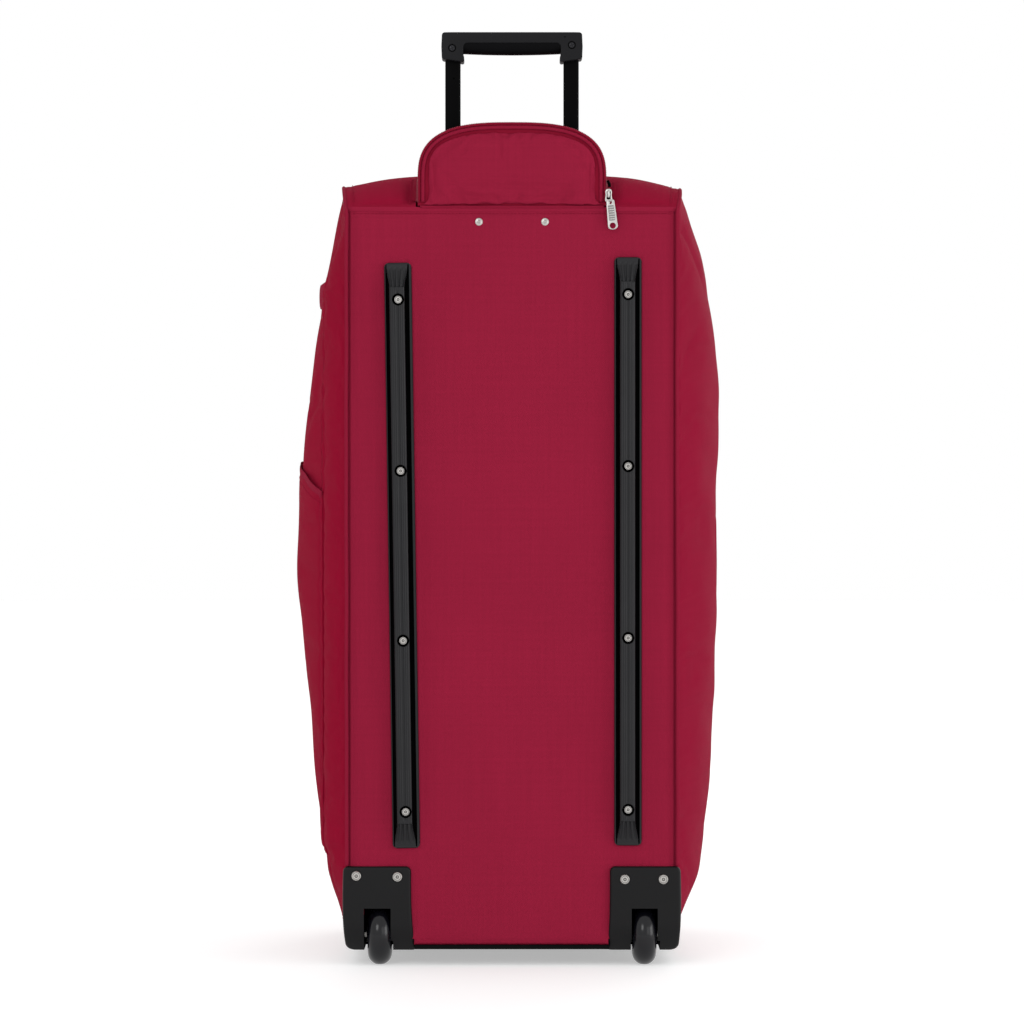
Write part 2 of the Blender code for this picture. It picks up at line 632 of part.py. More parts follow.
def make_handle():
    slide = pivot("handle_slide", (0.0, TUBE_Y, TUBE_Z[1]))
    cavity = block("cut_cavity", (-0.0655, TUBE_Y - 0.0045, 0.9012), (0.0655, TUBE_Y + 0.0045, 0.9137))
    spring_seat = rod("cut_spring_seat", (0, TUBE_Y, 0.8998), (0, TUBE_Y, 0.905), 0.0044)
    button_hole = block("cut_button", (-0.0118, TUBE_Y - 0.0048, 0.905), (0.0118, TUBE_Y + 0.0048, 0.93))
    shells = (("grip_rear_shell", TUBE_Y - GRIP_DEPTH, TUBE_Y - GAP / 2),
              ("grip_front_shell", TUBE_Y + GAP / 2, TUBE_Y + GRIP_DEPTH))
    for name, low, high in shells:
        shell = prism(name, grip_outline(), 1, low, high, BLACK)
        outside = low if "rear" in name else high
        bm = bmesh.new()
        bm.from_mesh(shell.data)
        rim = [e for e in bm.edges if all(abs(v.co.y - outside) < 1e-6 for v in e.verts)]
        bmesh.ops.bevel(bm, geom=rim, offset=0.0035, segments=3, profile=0.5, affect="EDGES")
        bm.to_mesh(shell.data)
        bm.free()
        cut(shell, cavity, spring_seat, button_hole)
        for side, tag in SIDES:
            socket = bpy.data.objects.get(f"cut_socket_{tag}") or tube_block(
                f"cut_socket_{tag}", side * TUBE_X, TUBE, (0.88, TUBE_Z[1] + GAP), shrink=-GAP)
            x, z = side * SCREW_X, SCREW_Z
            hole = bpy.data.objects.get(f"cut_screw_{tag}") or rod(
                f"cut_screw_{tag}", (x, -0.17, z), (x, -0.1425, z), 0.0017, sides=12)
            head = bpy.data.objects.get(f"cut_head_{tag}") or rod(
                f"cut_head_{tag}", (x, -0.17, z), (x, -0.1580, z), 0.0032, sides=12)
            cut(shell, socket, hole, head)
        hang(slide, shell)
    for side, tag in SIDES:
        tube = make_tube(f"inner_tube_{tag}", side, TUBE, TUBE_Z)
        glide = tube_block(f"tube_glide_{tag}", side * TUBE_X, SLEEVE, (0.4245, TUBE_Z[0] - GAP), BLACK,
                           shrink=SLEEVE[2] + 0.0004)
        spigot = tube_block(f"spigot_{tag}", side * TUBE_X, TUBE, (0.430, 0.452), shrink=TUBE[2] + 0.0004)
        join(glide, spigot)
        profile = [(0.0, 0.0), (0.0014, 0.0), (0.0014, 0.0150), (0.0028, 0.0150), (0.0028, 0.0160),
                   (0.0010, 0.0168), (0.0, 0.0162)]
        seat = (side * SCREW_X, -0.1434, SCREW_Z)
        screw = turned(f"grip_screw_{tag}", profile, seat, (0, -1, 0), STEEL, sides=12)
        hang(slide, tube, glide, screw)
    make_release(slide)


def make_release(slide):
    """The button, its yoke across the grip and the two rods down the tubes, as one moving piece."""
    button = block("release_button", (-0.0110, TUBE_Y - 0.0040, 0.9098), (0.0110, TUBE_Y + 0.0040, 0.9195),
                   BLACK, bevel=0.0010)
    yoke = block("yoke", (-0.0645, TUBE_Y - 0.0030, 0.9065), (0.0645, TUBE_Y + 0.0030, 0.9125))
    for side, tag in SIDES:
        notch = ((0.0535, TUBE_Y - 0.01, 0.90), (0.0585, TUBE_Y + 0.01, 0.9105))
        cut(yoke, block(f"cut_notch_{tag}", *mirrored(notch, side)))
        x = side * 0.0615
        join(yoke, rod(f"rod_{tag}", (x, TUBE_Y, 0.4560), (x, TUBE_Y, 0.9093), 0.0015, sides=10))
    join(button, yoke)
    turns, coil = 3, []
    for k in range(turns * 10 + 1):
        angle = 2 * math.pi * k / 10
        rise = 0.0054 * k / (turns * 10)
        coil.append((0.0032 * math.cos(angle), TUBE_Y + 0.0032 * math.sin(angle), 0.9004 + rise))
    spring = pipe("button_spring", coil, 0.00030, STEEL, sides=1)
    hang(slide, button, spring)


# ---------------------------------------------------------------- flap, zips and carry handles
def flap_outline(steps=9):
    """The arch of the hood flap, in X and Z."""
    low, straight = FLAP_HINGE[2] + 0.0010, 0.772
    side = [(FLAP_HALF, low), (FLAP_HALF, straight)]
    for k in range(1, steps):
        angle = math.pi / 2 * k / steps
        side.append((FLAP_HALF * math.cos(angle) ** 0.85, straight + (FLAP_TOP - straight) * math.sin(angle) ** 0.85))
    return side + [(0.0, FLAP_TOP)] + [(-x, z) for x, z in reversed(side)]


def make_pull(name, x, y, z, lean=0.0):
    """A zip pull hanging from (x, y, z), a flat tab with a hole at its end."""
    tab = block(name, (-0.0045, -0.00075, -0.0285), (0.0045, 0.00075, 0.0015), ZINC, bevel=0.0040, segments=4,
                corners=1)
    eye = rod(f"cut_{name}", (0, -0.01, -0.0240), (0, 0.01, -0.0240), 0.0029, sides=14)
    loop = rod(f"cut_loop_{name}", (0, -0.01, -0.0010), (0, 0.01, -0.0010), 0.0016, sides=10)
    for piece in (tab, eye, loop):
        piece.matrix_world = Matrix.Translation((x, y, z)) @ Matrix.Rotation(lean, 4, "Y")
    cut(tab, eye, loop)
    turn = pivot(f"{name}_swing", (x, y, z))
    tab.parent = turn
    tab.matrix_parent_inverse = Matrix.Translation(turn.location).inverted()
    return tab


def make_slider(name, x, y, z, facing):
    """A zip slider's body with its bridge, on the fabric at y and facing -1 (back) or +1 (front)."""
    low, high = sorted((y, y + facing * 0.0022))
    body = block(name, (x - 0.0036, low, z - 0.0065), (x + 0.0036, high, z + 0.0055), ZINC, bevel=0.0007)
    low, high = sorted((y + facing * 0.0015, y + facing * 0.0036))
    bridge = block(f"bridge_{name}", (x - 0.0011, low, z - 0.0010), (x + 0.0011, high, z + 0.0050), bevel=0.0004)
    return join(body, bridge)


def make_flap():
    flap = prism("handle_flap", flap_outline(), 1, FLAP_Y[0], FLAP_Y[1], RED)
    hang(pivot("flap_hinge", FLAP_HINGE), flap)
    make_slider("flap_zip_slider", 0.0975, BACK_Y - 0.0006, 0.7600, -1)
    make_pull("flap_zip_pull", 0.0980, BACK_Y - 0.0042, 0.7525, lean=math.radians(-6))


def make_main_zip():
    x, z = LID_HALF + 0.0058, 0.650
    slider = make_slider("main_zip_slider", x, FRONT_Y + 0.0004, z, 1)
    hang(pivot("main_zip_slide", (x, FRONT_Y, z)), slider)
    make_pull("main_zip_pull", x, FRONT_Y + 0.0048, z - 0.0082)


def make_carry_handle(side, name):
    """A webbing loop that lies back along the side, in front of the middle."""
    root_y, reach, low, high, width = 0.126, 0.068, 0.262, 0.512, 0.024

    def centre(t):
        sweep = math.sin(math.pi * t)
        return (root_y - reach * min(1.0, 1.25 * sweep) ** 0.8, low + (high - low) * t)

    def outer(u, v):
        y, z = centre(u)
        ahead, behind = centre(min(1, u + 0.01)), centre(max(0, u - 0.01))
        run = Vector((ahead[0] - behind[0], ahead[1] - behind[1])).normalized()
        y, z = y - run.y * width * (v - 0.5), z + run.x * width * (v - 0.5)
        return side * (side_x(side, depth_of(y), z) + 0.0055), y, z

    loop = sheet(f"carry_handle_{name}", outer, -side * 0.0025, (20, 1), WEBBING)
    hang(pivot(f"carry_hinge_{name}", (side * 0.178, root_y + 0.008, 0.387)), loop)


# ---------------------------------------------------------------- build
clear_scene()
PARTS = new_collection("rolling_duffel_bag")
CUTTERS = new_collection("cutters", hidden=True)
SIDES = ((-1, "left"), (1, "right"))

RED = material("red_polyester", (0.300, 0.012, 0.040), 0.85)
RED_PIPING = material("red_piping", (0.270, 0.010, 0.035), 0.70)
LINING = material("grey_lining", (0.120, 0.120, 0.125), 0.80)
GREY = material("grey_board", (0.200, 0.200, 0.205), 0.60)
BLACK = material("black_plastic", (0.018, 0.018, 0.020), 0.45)
BLACK_TUBE = material("black_tube", (0.012, 0.012, 0.013), 0.35, 0.6)
WEBBING = material("red_webbing", (0.240, 0.010, 0.032), 0.80)
RUBBER = material("rubber", (0.022, 0.022, 0.025), 0.50)
STEEL = material("steel", (0.620, 0.610, 0.590), 0.30, 1.0)
ZINC = material("zinc", (0.700, 0.700, 0.700), 0.28, 1.0)

holes = make_rivet_holes()
make_body(holes, [block(f"cut_well_box_{name}", *well_box(side, GAP)) for side, name in SIDES])
make_rivets()
for side_sign, side_name in SIDES:
    make_skid(side_sign, side_name, holes)
    make_housing(side_sign, side_name, holes)
    make_wheel(side_sign, side_name)
    make_carry_handle(side_sign, side_name)
make_trolley_fixed(holes)
make_well()
make_handle()
make_flap()
make_lid()
make_main_zip()
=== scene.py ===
"""Rolling duffel bag: the looks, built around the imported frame. Metres, +Z up, the wheeled back faces -Y."""
import math

import bmesh
import bpy
import numpy as np
from mathutils import Matrix, Vector
from mathutils.bvhtree import BVHTree


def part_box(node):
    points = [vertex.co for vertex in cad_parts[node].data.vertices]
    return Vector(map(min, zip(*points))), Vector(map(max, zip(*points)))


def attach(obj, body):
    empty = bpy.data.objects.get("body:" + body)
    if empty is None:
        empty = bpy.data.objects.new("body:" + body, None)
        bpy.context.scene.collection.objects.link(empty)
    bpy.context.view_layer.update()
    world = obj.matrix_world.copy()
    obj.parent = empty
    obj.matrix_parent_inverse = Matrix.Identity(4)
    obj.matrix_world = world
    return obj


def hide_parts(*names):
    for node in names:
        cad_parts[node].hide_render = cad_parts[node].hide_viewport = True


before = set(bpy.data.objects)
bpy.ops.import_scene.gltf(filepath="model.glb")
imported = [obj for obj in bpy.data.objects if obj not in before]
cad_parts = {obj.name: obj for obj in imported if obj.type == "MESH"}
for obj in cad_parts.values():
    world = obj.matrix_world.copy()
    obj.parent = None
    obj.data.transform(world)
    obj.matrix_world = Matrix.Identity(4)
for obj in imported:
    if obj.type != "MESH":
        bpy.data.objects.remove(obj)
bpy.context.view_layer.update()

# ---------------------------------------------------------------- sizes, repeated from the frame's design
BACK_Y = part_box("back_panel")[0].y
FRONT_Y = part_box("front_frame")[1].y
DEPTH = FRONT_Y - BACK_Y
BASE_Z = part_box("back_panel")[0].z
SEAM_Z = 0.745
BACK_HALF = 0.163
FRONT_HALF = 0.158
TOP_RISE = {-1: 0.028, 1: 0.026}
TOP_ROUND = {-1: 2.6, 1: 3.2}
TOP_DOME = 0.0165
FABRIC = 0.0022
STRIP = 0.13            # share of the depth taken by the flat strip beside each left seam
STRIP_BELLY = 0.0245
BELLY = {
    -1: ((0.016, 0.000), (0.037, 0.0100), (0.058, 0.0160), (0.078, 0.0218), (0.109, 0.0235), (0.140, 0.0280),
         (0.171, 0.0330), (0.263, 0.0418), (0.325, 0.0478), (0.387, 0.0512), (0.448, 0.0512), (0.510, 0.0495),
         (0.556, 0.0430), (0.633, 0.0313), (0.664, 0.0245), (0.695, 0.0185), (0.726, 0.0138), (0.757, 0.0108),
         (0.773, 0.0090), (0.800, 0.0060)),
    1: ((0.016, 0.000), (0.037, 0.0070), (0.058, 0.0196), (0.078, 0.0285), (0.109, 0.0330), (0.140, 0.0360),
        (0.171, 0.0395), (0.232, 0.0410), (0.294, 0.0441), (0.356, 0.0462), (0.448, 0.0466), (0.510, 0.0477),
        (0.556, 0.0478), (0.6025, 0.0460), (0.664, 0.0390), (0.695, 0.0340), (0.726, 0.0236), (0.745, 0.0170),
        (0.757, 0.0128), (0.771, 0.0080), (0.800, 0.0010)),
}
SIDES = ((-1, "left"), (1, "right"))

SKID_LOW, SKID_HIGH = (corner.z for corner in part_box("skid_right"))
SKID_ENDS = {-1: (SKID_LOW - 0.0014, SKID_HIGH), 1: (SKID_LOW + 0.0012, SKID_HIGH + 0.0055)}
SKID_HALF = 0.0135
SKID_LEAN = {-1: math.radians(-0.85), 1: 0.0}
SKID_X = {-1: -0.1081, 1: 0.1140}
RIVET_Z = {-1: (0.1517, 0.3197, 0.4863, 0.6545), 1: (0.1538, 0.3224, 0.4910, 0.6596)}

TUBE_X, TUBE_Y = 0.0584, -0.150
GRIP_HALF, _, GRIP_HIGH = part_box("grip_rear_shell")[1]

(_, FLAP_BACK, FLAP_LOW), (FLAP_HALF, FLAP_FRONT, FLAP_TOP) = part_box("handle_flap")

(_, _, LID_LOW), (LID_HALF, _, LID_HIGH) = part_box("lid_panel")
LID_CORNER = 0.035
LID_DOME = 0.016
ZIP_GAP = 0.0015

TURN16 = np.arange(16) * 2 * math.pi / 16
TURN24 = np.arange(24) * 2 * math.pi / 24


# ---------------------------------------------------------------- curves and noise
def smooth_curve(points):
    """A smooth function through (x, y) points, read by interpolation in a fine table."""
    xs, ys = np.array(points, float).T
    slope = np.gradient(ys, xs)
    table_x = np.linspace(xs[0], xs[-1], 400)
    i = np.clip(np.searchsorted(xs, table_x) - 1, 0, len(xs) - 2)
    span = xs[i + 1] - xs[i]
    t = (table_x - xs[i]) / span
    table_y = ((2 * t ** 3 - 3 * t ** 2 + 1) * ys[i] + (t ** 3 - 2 * t ** 2 + t) * span * slope[i]
               + (3 * t ** 2 - 2 * t ** 3) * ys[i + 1] + (t ** 3 - t ** 2) * span * slope[i + 1])
    return lambda x: np.interp(x, table_x, table_y)


def ripple(x, y, size, seed, stretch=1.0):
    """Smooth irregular waves of about this size in metres, between about -1 and 1, the same each run."""
    rng = np.random.default_rng(seed)
    total = 0.0
    for _ in range(9):
        angle = rng.uniform(0, 2 * math.pi)
        rate = 2 * math.pi / (size * rng.uniform(0.6, 1.7))
        along = x * math.cos(angle) + y * math.sin(angle) / stretch
        total = total + np.sin(rate * along + rng.uniform(0, 6.3))
    return total / 4.2


def step(x, low, high):
    """0 below low, 1 above high, smooth between."""
    t = np.clip((x - low) / (high - low), 0, 1)
    return t * t * (3 - 2 * t)


def ridge(values, at, width):
    """A rounded ridge, 1 high, where the values pass a place."""
    return np.exp(-((values - at) / width) ** 2)


def creases(x, y, *lines):
    """Soft valleys that fade at both ends, each from x0, y0 to x1, y1 with a width and a depth."""
    total = 0.0
    for x0, y0, x1, y1, width, depth in lines:
        length = math.hypot(x1 - x0, y1 - y0)
        along = ((x - x0) * (x1 - x0) + (y - y0) * (y1 - y0)) / length
        across = ((x - x0) * (y1 - y0) - (y - y0) * (x1 - x0)) / length
        fade = step(along, -0.15 * length, 0.3 * length) * step(-along, -1.15 * length, -0.7 * length)
        total = total - depth * ridge(across, 0.0, width) * fade
    return total


def spaced(low, high, pitch, marks=(), fine=0.0006, reach=0.004):
    """Values from low to high at a pitch, closer together near the marks."""
    values = list(np.linspace(low, high, max(2, int(round((high - low) / pitch)) + 1)))
    for mark in marks:
        values += [v for v in np.arange(mark - reach, mark + reach + 1e-9, fine) if low < v < high]
    values = np.unique(np.round(values, 6))
    keep = [values[0]]
    for v in values[1:]:
        if v - keep[-1] > fine * 0.55:
            keep.append(v)
    keep[-1] = high
    return np.array(keep)


# ---------------------------------------------------------------- shape of the bag
BELLY_AT = {side: smooth_curve(BELLY[side]) for side, _ in SIDES}


def side_x(side, s, z):
    """Half width of a side at depth s (0 back seam, 1 front seam) and height z."""
    seam = BACK_HALF + (FRONT_HALF - BACK_HALF) * s
    belly = BELLY_AT[side](z)
    if side > 0:
        return seam + belly * (1 - np.abs(1 - 2 * s) ** 2.2)
    strip = np.minimum(belly, STRIP_BELLY)
    rise = np.clip(np.minimum(s, 1 - s) / STRIP, 0, 1)
    inner = np.clip(np.abs(s - 0.5) / (0.5 - STRIP), 0, 1)
    boxed = strip * (1 - (1 - rise) ** 2) + (belly - strip) * (1 - inner ** 2.4)
    round_off = step(z, 0.045, 0.130) * step(-z, -0.765, -0.660)
    return seam + round_off * boxed + (1 - round_off) * belly * (1 - np.abs(1 - 2 * s) ** 2.2)


def depth_of(y):
    return (y - BACK_Y) / DEPTH


def y_at(s):
    return BACK_Y + DEPTH * s


def edge_z(side, s):
    """Height of the top edge, where the top fabric meets a side."""
    return SEAM_Z + TOP_RISE[side] * (1 - np.abs(1 - 2 * s) ** 5)


def edge_half(side, s):
    return side_x(side, s, edge_z(side, s))


def top_z(x, s):
    left = np.asarray(x) < 0
    share = np.minimum(1.0, np.abs(x) / np.where(left, edge_half(-1, s), edge_half(1, s)))
    middle = (TOP_RISE[-1] + TOP_RISE[1]) / 2
    rise = middle + (np.where(left, TOP_RISE[-1], TOP_RISE[1]) - middle) * share
    dome = TOP_DOME * (1 - share ** np.where(left, TOP_ROUND[-1], TOP_ROUND[1]))
    return SEAM_Z + (rise + dome) * (1 - np.abs(1 - 2 * s) ** 5)


def lid_y(x, z):
    across = np.maximum(0.0, 1 - (x / LID_HALF) ** 2)
    middle, half = (LID_LOW + LID_HIGH) / 2, (LID_HIGH - LID_LOW) / 2
    return FRONT_Y + LID_DOME * across * np.maximum(0.0, 1 - ((z - middle) / half) ** 4)


# ---------------------------------------------------------------- meshes
def add_piece(name, verts, faces, body, looks, uv=None, material_index=None, crisp=None, replaces=()):
    """A new object from vertices and faces, riding on a body and painted with the looks."""
    mesh = bpy.data.meshes.new(name)
    mesh.from_pydata([tuple(v) for v in np.asarray(verts, float).tolist()], [], [tuple(f) for f in faces])
    mesh.validate()
    if uv is not None:
        layer = mesh.uv_layers.new(name="UVMap")
        loops = np.zeros(len(mesh.loops), np.int32)
        mesh.loops.foreach_get("vertex_index", loops)
        layer.data.foreach_set("uv", np.asarray(uv, np.float32)[loops].ravel())
    obj = bpy.data.objects.new(name, mesh)
    bpy.context.scene.collection.objects.link(obj)
    for look in looks if isinstance(looks, (list, tuple)) else (looks,):
        mesh.materials.append(look)
    if material_index is not None:
        mesh.polygons.foreach_set("material_index", material_index)
    mesh.shade_smooth()
    if crisp is not None:
        mesh.set_sharp_from_angle(angle=math.radians(crisp))
    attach(obj, body)
    if replaces:
        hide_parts(*replaces)
    return obj


def grid_normals(points):
    n = np.cross(np.gradient(points, axis=1), np.gradient(points, axis=0))
    return n / (np.linalg.norm(n, axis=2, keepdims=True) + 1e-12)


def grid_faces(rows, cols):
    """The quads of a grid of points, and those of the rim that joins it to a second grid behind it."""
    count = rows * cols
    index = np.arange(count).reshape(rows, cols)
    quads = np.stack([index[:-1, :-1], index[:-1, 1:], index[1:, 1:], index[1:, :-1]], -1).reshape(-1, 4)
    edges = np.concatenate([np.stack([index[0, :-1], index[0, 1:]], -1),
                            np.stack([index[-1, 1:], index[-1, :-1]], -1),
                            np.stack([index[:-1, -1], index[1:, -1]], -1),
                            np.stack([index[1:, 0], index[:-1, 0]], -1)])
    return quads, np.stack([edges[:, 1], edges[:, 0], edges[:, 0] + count, edges[:, 1] + count], -1)


def grid_uv(points):
    """Metres along the rows and the columns of a grid, for the weave."""
    across = np.linalg.norm(np.diff(points, axis=1), axis=2).mean(axis=0)
    along = np.linalg.norm(np.diff(points, axis=0), axis=2).mean(axis=1)
    u = np.concatenate([[0], np.cumsum(across)])
    v = np.concatenate([[0], np.cumsum(along)])
    return np.stack(np.meshgrid(u, v), axis=-1)


def cloth_panel(name, points, body, looks, outward=1, thick=FABRIC, relief=None, replaces=()):
    """A closed sheet of fabric: a grid of points is its outer face, moved out by the relief."""
    normal = grid_normals(points) * outward
    uv = grid_uv(points).reshape(-1, 2)
    if relief is not None:
        points = points + normal * np.asarray(relief)[..., None]
        normal = grid_normals(points) * outward
    inner = points - normal * thick
    rows, cols = points.shape[:2]
    quads, rim = grid_faces(rows, cols)
    if outward < 0:
        quads, rim = quads[:, ::-1], rim[:, ::-1]
    faces = np.concatenate([quads, rim, quads[:, ::-1] + rows * cols])
    lining = np.zeros(len(faces), np.int32)
    if len(looks) > 1:
        lining[len(quads) + len(rim):] = 1
    verts = np.concatenate([points.reshape(-1, 3), inner.reshape(-1, 3)])
    return add_piece(name, verts, faces.tolist(), body, looks, uv=np.concatenate([uv, uv]),
                     material_index=lining, replaces=replaces)


def resample(path, pitch, closed=False):
    """Points at an even pitch along a path."""
    path = np.asarray(path, float)
    if closed:
        path = np.concatenate([path, path[:1]])
    far = np.concatenate([[0], np.cumsum(np.linalg.norm(np.diff(path, axis=0), axis=1))])
    count = max(2, int(round(far[-1] / pitch)) + 1)
    at = np.linspace(0, far[-1], count)
    if closed:
        at = at[:-1]
    return np.stack([np.interp(at, far, path[:, k]) for k in range(3)], -1)


def path_frames(path, up, closed=False):
    """Tangent, side and outward unit vectors along a path."""
    if closed:
        tangent = np.roll(path, -1, axis=0) - np.roll(path, 1, axis=0)
    else:
        tangent = np.gradient(path, axis=0)
    tangent /= np.linalg.norm(tangent, axis=1, keepdims=True) + 1e-12
    up = np.broadcast_to(np.asarray(up, float), path.shape)
    side = np.cross(tangent, up)
    side /= np.linalg.norm(side, axis=1, keepdims=True) + 1e-12
    return tangent, side, np.cross(side, tangent)


def swept(name, path, up, section, body, look, closed=False, replaces=(), crisp=None):
    """A closed section of (side, out) offsets, or a function of the share of the way, swept along a path."""
    path = np.asarray(path, float)
    _, side, out = path_frames(path, up, closed)
    rings = []
    for k, point in enumerate(path):
        shape = np.asarray(section(k / (len(path) - 1)) if callable(section) else section, float)
        rings.append(point + side[k] * shape[:, :1] + out[k] * shape[:, 1:])
    verts = np.concatenate(rings)
    n, m = len(path), len(rings[0])
    faces = []
    for k in range(n if closed else n - 1):
        a, b = k * m, ((k + 1) % n) * m
        faces += [(a + j, a + (j + 1) % m, b + (j + 1) % m, b + j) for j in range(m)]
    if not closed:
        faces += [tuple(range(m - 1, -1, -1)), tuple(range((n - 1) * m, n * m))]
    loop = np.concatenate([[0], np.cumsum(np.linalg.norm(np.diff(rings[0], axis=0), axis=1))])
    far = np.concatenate([[0], np.cumsum(np.linalg.norm(np.diff(path, axis=0), axis=1))])
    uv = np.stack([np.tile(loop, n), np.repeat(far, m)], -1)
    piece = add_piece(name, verts, faces, body, look, uv=uv, replaces=replaces, crisp=crisp)
    fix_normals(piece)
    return piece


def fix_normals(piece):
    bm = bmesh.new()
    bm.from_mesh(piece.data)
    bmesh.ops.recalc_face_normals(bm, faces=bm.faces)
    bm.to_mesh(piece.data)
    bm.free()


def circle(radius, sides=10, squash=1.0):
    angles = np.arange(sides) * 2 * math.pi / sides
    return np.stack([radius * np.cos(angles), radius * squash * np.sin(angles)], -1)


def rounded_rect(half_a, half_b, corner, steps=3):
    """A closed outline round (0, 0)."""
    outline = []
    for turn, (a, b) in enumerate(((1, 1), (-1, 1), (-1, -1), (1, -1))):
        for k in range(steps + 1):
            angle = math.pi / 2 * (turn + k / steps)
            outline.append((a * (half_a - corner) + corner * math.cos(angle),
                            b * (half_b - corner) + corner * math.sin(angle)))
    return np.array(outline)


def repeated(name, unit, path, up, pitch, body, look, closed=False, crisp=None):
    """Small copies of a unit, (vertices in along, side, out) and faces, in a row along a path."""
    verts, faces = np.asarray(unit[0], float), unit[1]
    path = np.asarray(path, float)
    ups = np.broadcast_to(np.asarray(up, float), path.shape)
    spots = resample(path, pitch, closed)
    if len(path) > 2:
        source = np.concatenate([path, path[:1]]) if closed else path
        source_up = np.concatenate([ups, ups[:1]]) if closed else ups
        far = np.concatenate([[0], np.cumsum(np.linalg.norm(np.diff(source, axis=0), axis=1))])
        at = np.linspace(0, far[-1], len(spots) + (1 if closed else 0))[:len(spots)]
        ups = np.stack([np.interp(at, far, source_up[:, k]) for k in range(3)], -1)
    else:
        ups = np.broadcast_to(ups[0], spots.shape)
    tangent, side, out = path_frames(spots, ups, closed)
    world = (spots[:, None] + tangent[:, None] * verts[None, :, :1] + side[:, None] * verts[None, :, 1:2]
             + out[:, None] * verts[None, :, 2:])
    count = len(verts)
    all_faces = [tuple(i + k * count for i in face) for k in range(len(spots)) for face in faces]
    return add_piece(name, world.reshape(-1, 3), all_faces, body, look, crisp=crisp)


def stitch_unit():
    """One stitch of thread: a little sausage that dips into the cloth at both ends."""
    length, radius, sides = 0.0027, 0.00032, 5
    rings = ((-0.5, 0.35, -0.5), (-0.3, 1.0, 0.5), (0.3, 1.0, 0.5), (0.5, 0.35, -0.5))
    verts = []
    for along, size, rise in rings:
        for k in range(sides):
            angle = 2 * math.pi * k / sides
            verts.append((along * length, radius * size * math.cos(angle),
                          radius * (rise + size * math.sin(angle))))
    faces = [tuple(range(sides)), tuple(range(4 * sides - 1, 3 * sides - 1, -1))]
    for r in range(3):
        for k in range(sides):
            a, b = r * sides + k, r * sides + (k + 1) % sides
            faces.append((a, a + sides, b + sides, b))
    return verts, faces


def box_unit(along, side, out, lift=0.0):
    """A small block with narrowed top, as one unit of a row."""
    verts = []
    for height, size in ((0.0, 1.0), (out * 0.7, 1.0), (out, 0.6)):
        for a, b in ((-1, -1), (1, -1), (1, 1), (-1, 1)):
            verts.append((a * along / 2 * size, b * side / 2 * size, lift + height))
    faces = [(3, 2, 1, 0), (8, 9, 10, 11)]
    for r in (0, 4):
        faces += [(r + k, r + (k + 1) % 4, r + 4 + (k + 1) % 4, r + 4 + k) for k in range(4)]
    return verts, faces


STITCH = stitch_unit()
STITCH_PITCH = 0.0036
TOOTH = box_unit(0.0009, 0.0030, 0.0012)


def stitches(name, path, up, body):
    return repeated(name, STITCH, path, up, STITCH_PITCH, body, THREAD)


def level_line(reach, y, z, count):
    """Points of a straight level line from -reach to reach in X."""
    return np.column_stack([np.linspace(-reach, reach, count), np.full(count, y), np.full(count, z)])


def pillow(name, outline, base_y, face_y, radius, body, look, steps=5, replaces=(), crisp=35):
    """A closed piece with an outline in X and Z, from base_y to face_y, whose rim at face_y is rounded."""
    outline = np.asarray(outline, float)
    area = np.sum(outline[:, 0] * np.roll(outline[:, 1], -1) - np.roll(outline[:, 0], -1) * outline[:, 1])
    if area < 0:
        outline = outline[::-1]
    run = np.roll(outline, -1, axis=0) - np.roll(outline, 1, axis=0)
    run /= np.linalg.norm(run, axis=1, keepdims=True)
    inward = np.stack([-run[:, 1], run[:, 0]], -1)
    sign = math.copysign(1.0, face_y - base_y)
    rings = [(outline, np.full(len(outline), base_y))]
    for k in range(steps + 1):
        angle = math.pi / 2 * k / steps
        rings.append((outline + inward * (radius * (1 - math.cos(angle))),
                      np.full(len(outline), face_y - sign * radius * (1 - math.sin(angle)))))
    verts = np.concatenate([np.stack([o[:, 0], y, o[:, 1]], -1) for o, y in rings])
    m = len(outline)
    faces = [tuple(range(m)), tuple(range(len(rings) * m - 1, (len(rings) - 1) * m - 1, -1))]
    for r in range(len(rings) - 1):
        a = r * m
        faces += [(a + j, a + m + j, a + m + (j + 1) % m, a + (j + 1) % m) for j in range(m)]
    piece = add_piece(name, verts, faces, body, look, replaces=replaces)
    fix_normals(piece)
    piece.data.set_sharp_from_angle(angle=math.radians(crisp))
    return piece


def turned(name, profile, centre, axis, body, look, sides=40, replaces=()):
    """A closed profile of (radius, height) points spun about an axis through centre."""
    profile = np.asarray(profile, float)
    angles = np.arange(sides) * 2 * math.pi / sides
    ring = np.stack([np.cos(angles), np.sin(angles)], -1)
    verts = np.concatenate([np.column_stack([ring * r, np.full(sides, h)]) for r, h in profile])
    m = len(profile)
    faces = []
    for k in range(m):
        a, b = k * sides, ((k + 1) % m) * sides
        faces += [(a + j, a + (j + 1) % sides, b + (j + 1) % sides, b + j) for j in range(sides)]
    piece = add_piece(name, verts, faces, body, look, replaces=replaces)
    turn = Vector(axis).to_track_quat("Z", "Y").to_matrix().to_4x4()
    piece.data.transform(Matrix.Translation(centre) @ turn)
    bm = bmesh.new()
    bm.from_mesh(piece.data)
    bmesh.ops.remove_doubles(bm, verts=bm.verts, dist=1e-7)
    bmesh.ops.dissolve_degenerate(bm, edges=bm.edges, dist=1e-8)
    loose = [e for e in bm.edges if not e.link_faces]
    bmesh.ops.delete(bm, geom=loose, context="EDGES")
    bmesh.ops.recalc_face_normals(bm, faces=bm.faces)
    bm.to_mesh(piece.data)
    bm.free()
    piece.data.set_sharp_from_angle(angle=math.radians(35))
    return piece


def apply_modifiers(piece):
    graph = bpy.context.evaluated_depsgraph_get()
    fresh = bpy.data.meshes.new_from_object(piece.evaluated_get(graph))
    piece.modifiers.clear()
    piece.data = fresh


